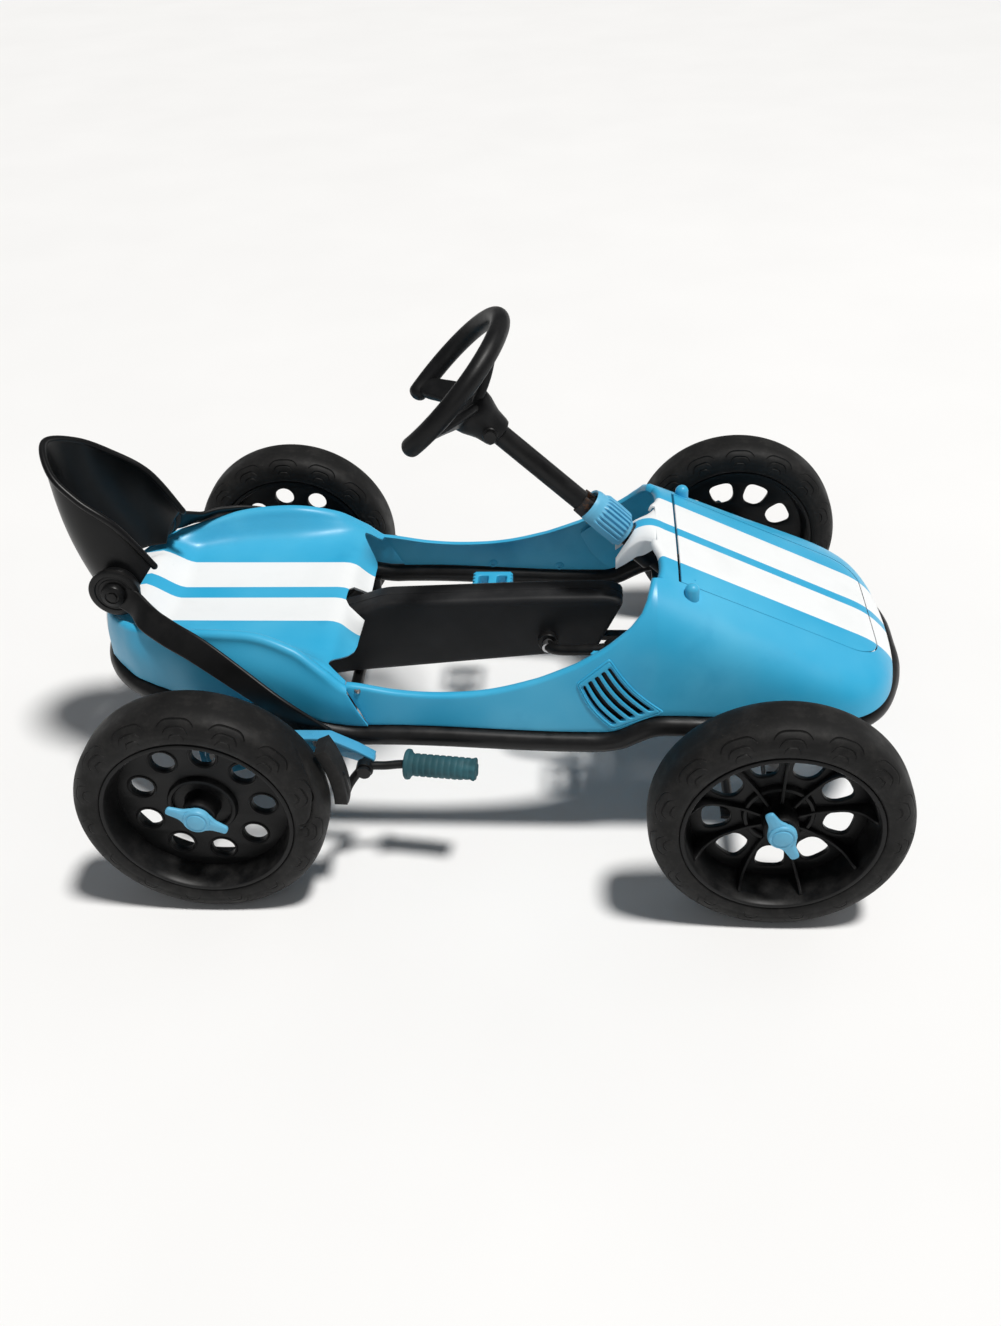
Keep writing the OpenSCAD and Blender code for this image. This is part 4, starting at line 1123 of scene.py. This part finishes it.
def rim(name, x, y, body, node, wide, phase):
    """A rim: wide ones have ribs and long holes, narrow ones have round holes with collars."""
    s = 1 if y > 0 else -1
    centre = (x, y, AXLE_Z)
    d = -9.0 if wide else 0.0
    keep = dict(look="rim", body=body, centre=centre)
    barrel = [(97, -28), (97, 28), (96.3, 29.3), (94.6, 29.8), (92.6, 29.4), (91.6, 28.0), (90.6, 22.0),
              (89.4, d + 14),
              (87.2, d + 8), (86.0, d + 3), (86.0, d - 3), (87.2, d - 6), (89.4, d - 10), (91.6, -27.0),
              (92.6, -29.4), (94.6, -29.8),
              (96.3, -29.3)]
    parts = [lathe("barrel", barrel, centre, (0, s, 0), n=128, closed=True, **keep)]
    turn = radians(phase)
    loops = [circle(88, 96), circle(9, 32)]
    for k in range(HOLES):
        a = turn + tau * k / HOLES
        if wide:
            hole = []
            for m in range(36):
                b = tau * m / 36
                c, q = cos(b), sin(b)
                r = 60 + 14 * copysign(abs(c) ** 0.7, c)
                t = (14 + 3 * c) * copysign(abs(q) ** 0.7, q)
                hole.append((r * cos(a) - t * sin(a), r * sin(a) + t * cos(a)))
            loops.append(hole)
        else:
            loops.append(circle(12, 36, (HOLE_R * cos(a), HOLE_R * sin(a))))
    parts.append(plate("web", loops, 6.4, 1.4, lambda u, v, w: (x + u, y + s * (d - 3.2 + w), AXLE_Z + v),
                       **keep))
    hub = [(6.1, -24), (15.6, -24), (17, -22.6), (17, d - 3), (19, d + 3.2), (17.6, d + 6), (17, 21.6),
           (15.6, 23.4), (12, 24), (6.1, 24)]
    parts.append(lathe("hub", hub, centre, (0, s, 0), n=64, closed=True, **keep))
    ring = [(29.5, d + 2), (29.8, d + 7.2), (31, d + 8.6), (34, d + 8.6), (35.2, d + 7.2), (36.2, d + 2)]
    parts.append(lathe("ring", ring, centre, (0, s, 0), n=96, closed=True, **keep))
    if wide:
        shape = corner_loop([(16, d + 1), (16, d + 14), (34, d + 9.5), (62, d + 9), (78, d + 15),
                             (90.6, d + 33), (90.6, d + 1)], 7, 4)
        for k in range(HOLES):
            a = turn + tau * (k + 0.5) / HOLES
            c, q = cos(a), sin(a)
            parts.append(plate("rib", [shape], 3.2, 0.8, lambda u, v, w, c=c, q=q: (
                x + u * c - (w - 1.6) * q, y + s * v, AXLE_Z + u * q + (w - 1.6) * c), **keep))
    else:
        for k in range(HOLES):
            a = turn + tau * k / HOLES
            rim_ring = [(12.2, -3.4), (12.4, 3.6), (13.4, 4.6), (14.6, 4.2), (15.4, 2.4), (15.4, -3.4)]
            parts.append(lathe("collar", rim_ring, (x + HOLE_R * cos(a), y, AXLE_Z + HOLE_R * sin(a)),
                               (0, s, 0), n=40,
                               closed=True, **keep))
    whole_rim = join(name, parts)
    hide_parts(node)


WING = 32.0


def wing_nut(name, x, y, body, turn):
    s = 1 if y > 0 else -1
    centre = (x, y, AXLE_Z)
    keep = dict(look="nut", body=body, centre=centre)
    dome = [(6.1, 24.4), (13.2, 24.4), (14, 25.4), (14, 29.6), (13.2, 31.2), (11.6, 31.9), (10.6, 31.3),
            (9.8, 31.3), (8.8, 32.4), (6, 33.0),
            (0, 33.2)]
    cap = lathe("cap", dome, centre, (0, s, 0), n=56, **keep)
    quarter = [(WING, 0), (30.6, 4.0), (25, 5.2), (17, 6.6), (10, 10.5), (0, 12.6)]
    half = quarter + [(-u, v) for u, v in quarter[:-1][::-1]]
    outline = round_loop(half + [(-u, -v) for u, v in half[1:-1]], 4)
    a = -radians(turn)
    c, q = cos(a), sin(a)
    ears = plate("ears", [outline], 4.4, 1.5, lambda u, v, w: (
        x + u * c - v * q, y + s * (24.8 + w + 1.2 * (abs(u) / WING) ** 2), AXLE_Z + u * q + v * c), **keep)
    nut = join(name, [cap, ears])
    return nut


def wheels():
    """Tyres, rims and wing nuts at all four corners."""
    spots = [("front_left", FRONT_X, FRONT_Y, "wheel_front_left", True, 27, 50),
             ("front_right", FRONT_X, -FRONT_Y, "wheel_front_right", True, 27, 62),
             ("rear_left", REAR_X, REAR_Y, "wheel_rear_left", False, 20, 25),
             ("rear_right", REAR_X, -REAR_Y, "driven_axle", False, 0, 25)]
    for k, (tag, x, y, body, wide, phase, turn) in enumerate(spots):
        tyre("tyre_skin_" + tag, x, y, body, "tyre_" + tag, 17.0 * k, split=tag == "rear_right")
        rim("rim_skin_" + tag, x, y, body, "rim_" + tag, wide, phase)
        nut_body = node_body["wing_nut_" + tag] if wide else node_body["wing_nuts_rear"]
        nut = wing_nut("nut_" + tag, x, y, nut_body, turn)
        if wide:
            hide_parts("wing_nut_" + tag)
        elif tag == "rear_left":
            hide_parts("wing_nuts_rear")


# ---------- steering ----------

def bar_between(stations):
    """A rounded flat bar through (centre, width, height) stations, its flat side towards the column's axis."""
    pts = smooth_path([q[0] for q in stations], 6)
    out = []
    for i, (p, t, side, top) in enumerate(frames(pts, COL_Z)):
        f = i / (len(pts) - 1) * (len(stations) - 1)
        k = min(int(f), len(stations) - 2)
        w, h = (mix(stations[k][m], stations[k + 1][m], ease(f - k)) for m in (1, 2))
        out.append([p + side * a + top * b for a, b in soft_bar(w, h, min(w, h) * 0.42, 5)])
    return rings("spoke", out, "wheel", "steering_head")


def steering():
    """Steering wheel, upper column and the yoke of its fold."""
    turn, reach, radius, height = radians(6), radians(120), 88.0, 208.0

    def at(a, r, h):
        return column(r * cos(a + turn), r * sin(a + turn), h)

    path = [at(-reach + 2 * reach * k / 96, radius, height) for k in range(97)]
    parts = [sweep("grip_rim", path, disc(10, 24), "wheel", "steering_head", up=COL_Z, round_ends=8)]
    for s in (-1, 1):
        parts.append(bar_between([
            (at(s * (reach - 0.08), radius, height), 15, 15), (at(s * (reach - 0.14), 70, 199), 25, 10),
            (at(s * (reach - 0.30), 42, 184), 27, 9), (at(s * (reach - 0.5), 10, 171), 33, 9)]))
    parts.append(bar_between([(at(0, radius, height), 22, 15), (at(0, 66, 198), 17, 10),
                              (at(0, 36, 182), 22, 10),
                              (at(0, 4, 171), 33, 10)]))
    hub = [(0, 179), (12, 179), (20, 177.5), (24, 174), (25, 170), (23.6, 163), (20.5, 155), (18.4, 149),
           (17.4, 143), (16.6, 137),
           (15.4, 133), (13.6, 131.8), (11.2, 131.8)]
    parts.append(lathe("hub", hub, FOLD, COL_Z, "wheel", "steering_head", n=56))
    boss = [(5, 15), (7.5, 15), (8.2, 16), (8.2, 18.6), (7.4, 19.6), (5, 19.8)]
    for s in (-1, 1):
        parts.append(lathe("boss", boss, column(0, 0, 143), (0, s, 0), "wheel", "steering_head", n=36,
                           closed=True))
    wheel = join("steering_wheel_skin", parts)
    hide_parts("steering_wheel")

    tube = lathe("tube", [(0, 17), (9.4, 17), (11, 18.5), (11, 132.5), (0, 132.5)], FOLD, COL_Z, "frame",
                 "steering_head", n=40)
    lugs = []
    for y0 in (-10.6, 6.2):
        lug = [(x, h) for x, h in circle(12, 40) if h <= 0] + [(-10.6, 6), (-10, 19), (10, 19), (10.6, 6)]
        lug.sort(key=lambda q: atan2(q[1] - 3, q[0]))
        lugs.append(plate("lug", [lug], 4.4, 0.9, lambda u, v, w, y0=y0: column(u, y0 + w, v), "worn",
                          "steering_head"))
    yoke = join("column_yoke", lugs)
    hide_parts("column_upper")


def latch():
    """A finned half sleeve over the fold; its fins run along the column."""
    rows, cols = 72, 264
    verts = []
    for i in range(rows + 1):
        t = i / rows
        h = mix(-42.3, 10.3, t)
        shape = min(1.0, sin(pi * clamp(t * 0.86 + 0.035)) * 1.9) ** 0.5
        for j in range(cols + 1):
            a = radians(mix(-110, 110, j / cols))
            fin = ease(0.5 + 1.6 * cos(a * 28)) * ease((t - 0.07) / 0.07) * ease((0.80 - t) / 0.10)
            fin *= ease((radians(97) - abs(a)) / 0.10)
            r = mix(14.5, 20.4, shape) + 0.9 * sin(pi * t) + 2.3 * fin
            verts.append(column(r * cos(a), r * sin(a), h))
    shell = new_mesh("latch_shell", verts, grid_faces(rows + 1, cols + 1), "nut", "latch", smooth=50)
    thicken(shell, 2.6, 0.6, 2, smooth=50)
    foot = lathe("foot", washer(8.1, 14.6, -42, -36.5, 1.6), FOLD, COL_Z, "nut",
                 "latch", n=48, closed=True)
    cap = join("latch_skin", [shell, foot])
    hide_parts("column_latch")


# ---------- drive ----------

CASE_TOP = [(-280, 166), (-235, 176), (-150, 192), (-112, 205), (60, 212), (140, 213), (157, 206)]
CASE_BOTTOM = [(124, 137), (72, 134), (-150, 110), (-250, 93), (-282, 93), (-302, 108), (-306, 130),
               (-298, 154)]
CRANK = Vector((72, 0, 162))
CRANK_ANGLE, CRANK_R = radians(8), 72.0


def chain_case():
    """The closed case round the chain, with a seam round its middle."""
    outline = corner_loop(CASE_TOP + CASE_BOTTOM, 9, 6)
    box = plate("case", [outline], 39.6, 6.5, lambda u, v, w: (u, w - 19.8, v), "case", smooth=50)
    grown = []
    mid = Vector((sum(p[0] for p in outline) / len(outline), sum(p[1] for p in outline) / len(outline)))
    for i, (u, v) in enumerate(outline):
        a, b = Vector(outline[i - 1]), Vector(outline[(i + 1) % len(outline)])
        n = Vector(((b - a).y, -(b - a).x)).normalized()
        if n.dot(Vector((u, v)) - mid) < 0:
            n = -n
        grown.append((u + n.x * 0.5, v + n.y * 0.5))
    seam = plate("seam", [grown], 2.4, 0.6, lambda u, v, w: (u, w - 1.2, v), "case")
    case = join("chain_case_skin", [box, seam])
    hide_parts("chain_case_left", "chain_case_right")


def turned(p):
    """A point turned with the crank."""
    v = Vector(p) - CRANK
    c, q = cos(CRANK_ANGLE), sin(CRANK_ANGLE)
    return CRANK + Vector((v.x * c - v.z * q, v.y, v.x * q + v.z * c))


def crank_and_pedals():
    """Bent crank arms and their pedals."""
    for s, side in SIDES:
        bends = [(0, 24), (0, 36), (5, 45), (18, 51), (46, 56), (CRANK_R, 57)]
        path = smooth_path([turned((CRANK.x - s * a, s * b, CRANK.z)) for a, b in bends], 10)
        rod = sweep("rod", path, disc(6, 24), "frame", "crank_set", round_ends=4)
        root = lathe("root", [(6.2, 25.6), (10.4, 25.6), (11.4, 26.8), (11.4, 33), (10.4, 34.2), (6.2, 34.4)],
                     CRANK, (0, s, 0),
                     "frame", "crank_set", n=40, closed=True)
        p = turned((CRANK.x - s * CRANK_R, 0, CRANK.z))
        eye = lathe("eye", washer(5.1, 10, 51.8, 62.2, 1.2, 1.2), p, (0, s, 0), "frame", "crank_set", n=40,
                    closed=True)
        arm = join("crank_skin_" + side, [rod, root, eye])
        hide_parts("crank_arm_" + side)
        middle = p + Vector((0, s * 96, 0))
        edge = [(24.0 - 1.3 * (1 + cos(tau * (v - 1) / 7.2)), v) for v in [52 * k / 60 for k in range(61)]]
        outline = edge + [(-u, v) for u, v in edge[::-1]]
        windows = [corner_loop([(c - 6, 10), (c + 6, 10), (c + 6, 43), (c - 6, 43)], 3, 3) for c in (-11, 11)]
        tread = plate("tread", [outline] + windows, 14, 1.6, lambda u, v,
                      w: (p.x + u, s * (70 + v), p.z - 8 + w), "blue",
                      node_body["pedal_" + side], centre=middle)
        pin = lathe("pin", [(0, 50), (4.4, 50), (5, 50.6), (5, 71), (0, 71)], p, (0, s, 0), "steel",
                    node_body["pedal_" + side],
                    n=28, centre=middle)
        foot = join("pedal_skin_" + side, [tread, pin])
        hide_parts("pedal_" + side)


# ---------- brackets and brake ----------

BRAKE_PIVOT = (-112, 126)
SHOE_IN, SHOE_OUT = 132, 145
GRIP_START = Vector((-66, -202, 128))


def brackets():
    """The two rear axle brackets."""
    outline = [(-292, 158), (-148, 158), (-120, 142), (-103, 130), (-104, 119), (-114, 116), (-150, 130),
               (-215, 128), (-246, 106), (-268, 100),
               (-290, 108)]
    flange = [(-292, 154.4), (-149, 154.4), (-121, 138.4), (-104, 127), (-102.6, 130.4), (-119.6, 142.4),
              (-147.6, 158.2), (-292, 158.2)]
    for s, side in SIDES:
        def upright(u, v, w, s=s):
            return u, s * (184 + w), v

        web = plate("web", [corner_loop(outline, 5, 4), circle(11, 40, (REAR_X, AXLE_Z)),
                            circle(4, 20, BRAKE_PIVOT)], 4, 0.9,
                    upright, "bracket")
        lip = plate("lip", [corner_loop(flange, 1.6, 3)], 14.4, 0.9, upright, "bracket")
        boss = lathe("boss", washer(11, 16, 177.6, 190.4), (REAR_X, 0, AXLE_Z), (0, s, 0),
                     "bracket", n=48, closed=True)
        tab = plate("tab", [corner_loop([(-242, 160), (-226, 160), (-226, 185), (-242, 185)], 2, 2)], 6, 0.9,
                    lambda u, v, w, s=s: (u, s * v, 151 + w), "bracket")
        whole_bracket = join("bracket_" + side, [web, lip, boss, tab])
        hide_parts("rear_bracket_" + side)


def brake():
    """Hand brake lever, worn grip and shoe."""
    path = [(0, -209.6, 128), (-64, -202.3, 128), (-90, -203, 127), (-112, -205, 126), (-127, -212, 112),
            (-132, -226, 105),
            (-129, -240, 112), (-125, -246, 130), (-128, -246, 152)]
    rod = sweep("rod", smooth_path(path, 10), disc(4.5, 20), "frame", "hand_brake", round_ends=3)
    eye = lathe("eye", washer(4.1, 9, 200, 211), (BRAKE_PIVOT[0], 0, BRAKE_PIVOT[1]), (0, -1, 0), "frame",
                "hand_brake",
                n=36, closed=True)
    lever = join("lever_skin", [rod, eye])
    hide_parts("brake_lever")
    a = radians(-6.5)
    direction = Vector((cos(a), sin(a), 0))
    profile = [(5.7, -4), (14.4, -4), (15.8, -2.8), (16, -1), (15.6, 1), (13.4, 2.2), (12.0, 3.6)]
    for k in range(9):
        base = 5.5 + 6.6 * k
        profile += [(11.2, base), (11.9, base + 1.0), (12.0, base + 4.4), (11.2, base + 5.6)]
    profile += [(11.9, 66.5), (12.6, 67.6), (12.6, 69.6), (11.4, 70.4), (8, 70.4), (0, 69.4)]
    grip = lathe("grip_skin", profile, GRIP_START, direction, "grip", "hand_brake", n=56)
    for vert in grip.data.vertices:
        t = (vert.co * 1000 - GRIP_START).dot(direction)
        wear = clamp((t - 52) / 18)
        off = vert.co * 1000 - (GRIP_START + direction * t)
        angle = atan2(off.z, off.y)
        vert.co -= off * MM * wear * (0.10 + 0.12 * sin(3 * angle + 1) + 0.08 * sin(7 * angle))
    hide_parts("brake_grip")
    arc = [radians(mix(-3, 26, k / 24)) for k in range(25)]
    loop = [(REAR_X + SHOE_IN * cos(t), AXLE_Z + SHOE_IN * sin(t)) for t in arc]
    loop += [(REAR_X + SHOE_OUT * cos(t), AXLE_Z + SHOE_OUT * sin(t)) for t in arc[::-1]]
    shoe = plate("shoe_skin", [loop], 26, 1.2, lambda u, v, w: (u, -256 + w, v), "shoe", "hand_brake")
    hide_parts("brake_shoe")


HINGE_X = 222


def small_parts():
    """Hinge bumps of the lid and the heads of the body screws."""
    bumps, radius, steps = [], 7.5, [pi / 2 * k / 7 for k in range(1, 8)]
    profile = [(0, 257.6)] + [(radius * sin(t), 264 - radius * cos(t)) for t in steps]
    profile += [(radius * cos(t), 276 + radius * sin(t)) for t in steps[:-1]] + [(0, 283.4)]
    for s in (1, -1):
        bumps.append(lathe("bump", profile, (HINGE_X, s * 103, 0), (0, 0, 1), "blue", n=40))
        bumps.append(lathe("pin", [(0, 72), (2.5, 72), (2.5, 99), (0, 99)], (HINGE_X, 0, 263), (0, s, 0),
                           "blue", n=24))
    knobs = join("hinge_bumps", bumps)
    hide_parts("lid_hinge_pins")
    screws = []
    for s in (1, -1):
        for x, z in ((-2, 148), (80, 144)):
            inside = 2.4 - flank_y(x, z)
            head = [(0, -0.6), (5.6, -0.6), (5.4, 0.8), (4.2, 1.9), (2.4, 2.4), (2.0, 1.2), (0, 1.2)]
            screws.append(lathe("screw", [(r, inside + h) for r, h in head], (x, 0, z), (0, -s, 0), "blue",
                                n=28))
        top = along(RIM_LINE, -121) + 0.2
        head = [(0, -2), (3.4, -2), (3.4, 0.4), (2.9, 1.2), (1.7, 1.4), (1.4, 0.5), (0, 0.5)]
        screws.append(lathe("screw", [(r, top + h) for r, h in head], (-121, s * 154.6, 0), (0, 0, 1),
                            "steel", n=28))
    heads = join("screw_heads", screws)
    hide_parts("body_screws")


wheels()
steering()
latch()
chain_case()
crank_and_pedals()
brackets()
brake()
small_parts()


# ---------- stage ----------

floor_mesh = bpy.data.meshes.new("floor")
FLOOR_HALF = 30.0
corners = [(FLOOR_HALF * u, FLOOR_HALF * v, 0) for u, v in ((-1, -1), (1, -1), (1, 1), (-1, 1))]
floor_mesh.from_pydata(corners, [], [(0, 1, 2, 3)])
floor = bpy.data.objects.new("floor", floor_mesh)
bpy.context.scene.collection.objects.link(floor)
pale = Shade("floor_pale", 0.9)
pale.colour(pale.ramp(pale.noise(3, 2), (0.3, (0.86, 0.86, 0.86)), (0.7, (0.88, 0.88, 0.88))))
floor_mesh.materials.append(pale.mat)

world = bpy.data.worlds.new("studio")
bpy.context.scene.world = world
bpy.context.scene.view_settings.view_transform = "Standard"
world.use_nodes = True
world.node_tree.nodes["Background"].inputs["Color"].default_value = (0.93, 0.96, 1.0, 1)
world.node_tree.nodes["Background"].inputs["Strength"].default_value = 0.13


def area_light(name, position, size, power):
    """A round soft light that looks at the part."""
    data = bpy.data.lights.new(name, "AREA")
    data.shape, data.size, data.energy = "DISK", size, power
    obj = bpy.data.objects.new(name, data)
    obj.location = position
    direction = Vector((0, 0, 0.2)) - Vector(position)
    obj.rotation_euler = direction.to_track_quat("-Z", "Y").to_euler()
    bpy.context.scene.collection.objects.link(obj)


area_light("fill", (-0.4, -2.6, 1.7), 2.2, 4)
area_light("side", (2.2, 1.2, 1.6), 1.6, 4)
key_data = bpy.data.lights.new("key", "SUN")
key_data.energy, key_data.angle, key_data.color = 3.2, radians(9), (1.0, 0.985, 0.96)
key = bpy.data.objects.new("key", key_data)
key.rotation_euler = Vector((-0.30, 0.12, -1)).to_track_quat("-Z", "Y").to_euler()
bpy.context.scene.collection.objects.link(key)

camera_data = bpy.data.cameras.new("camera")
camera_data.sensor_width, camera_data.lens = 36.0, 35.23
camera = bpy.data.objects.new("camera", camera_data)
bpy.context.scene.collection.objects.link(camera)
bpy.context.scene.camera = camera
YAW, PITCH, ROLL = (radians(a) for a in (-5.26, 36.14, -2.99))
level_ahead = Vector((sin(YAW), cos(YAW), 0))
level_right = Vector((cos(YAW), -sin(YAW), 0))
up = Vector((0, 0, 1))
ahead = level_ahead * cos(PITCH) - up * sin(PITCH)
overhead = level_ahead * sin(PITCH) + up * cos(PITCH)
right = level_right * cos(ROLL) + overhead * sin(ROLL)
top = overhead * cos(ROLL) - level_right * sin(ROLL)
turn = Matrix((right, top, -ahead)).transposed().to_4x4()
camera.matrix_world = Matrix.Translation(Vector((0.1262, -1.2097, 0.9965))) @ turn

for piece in PIECES:
    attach(piece, piece["ride_on"])
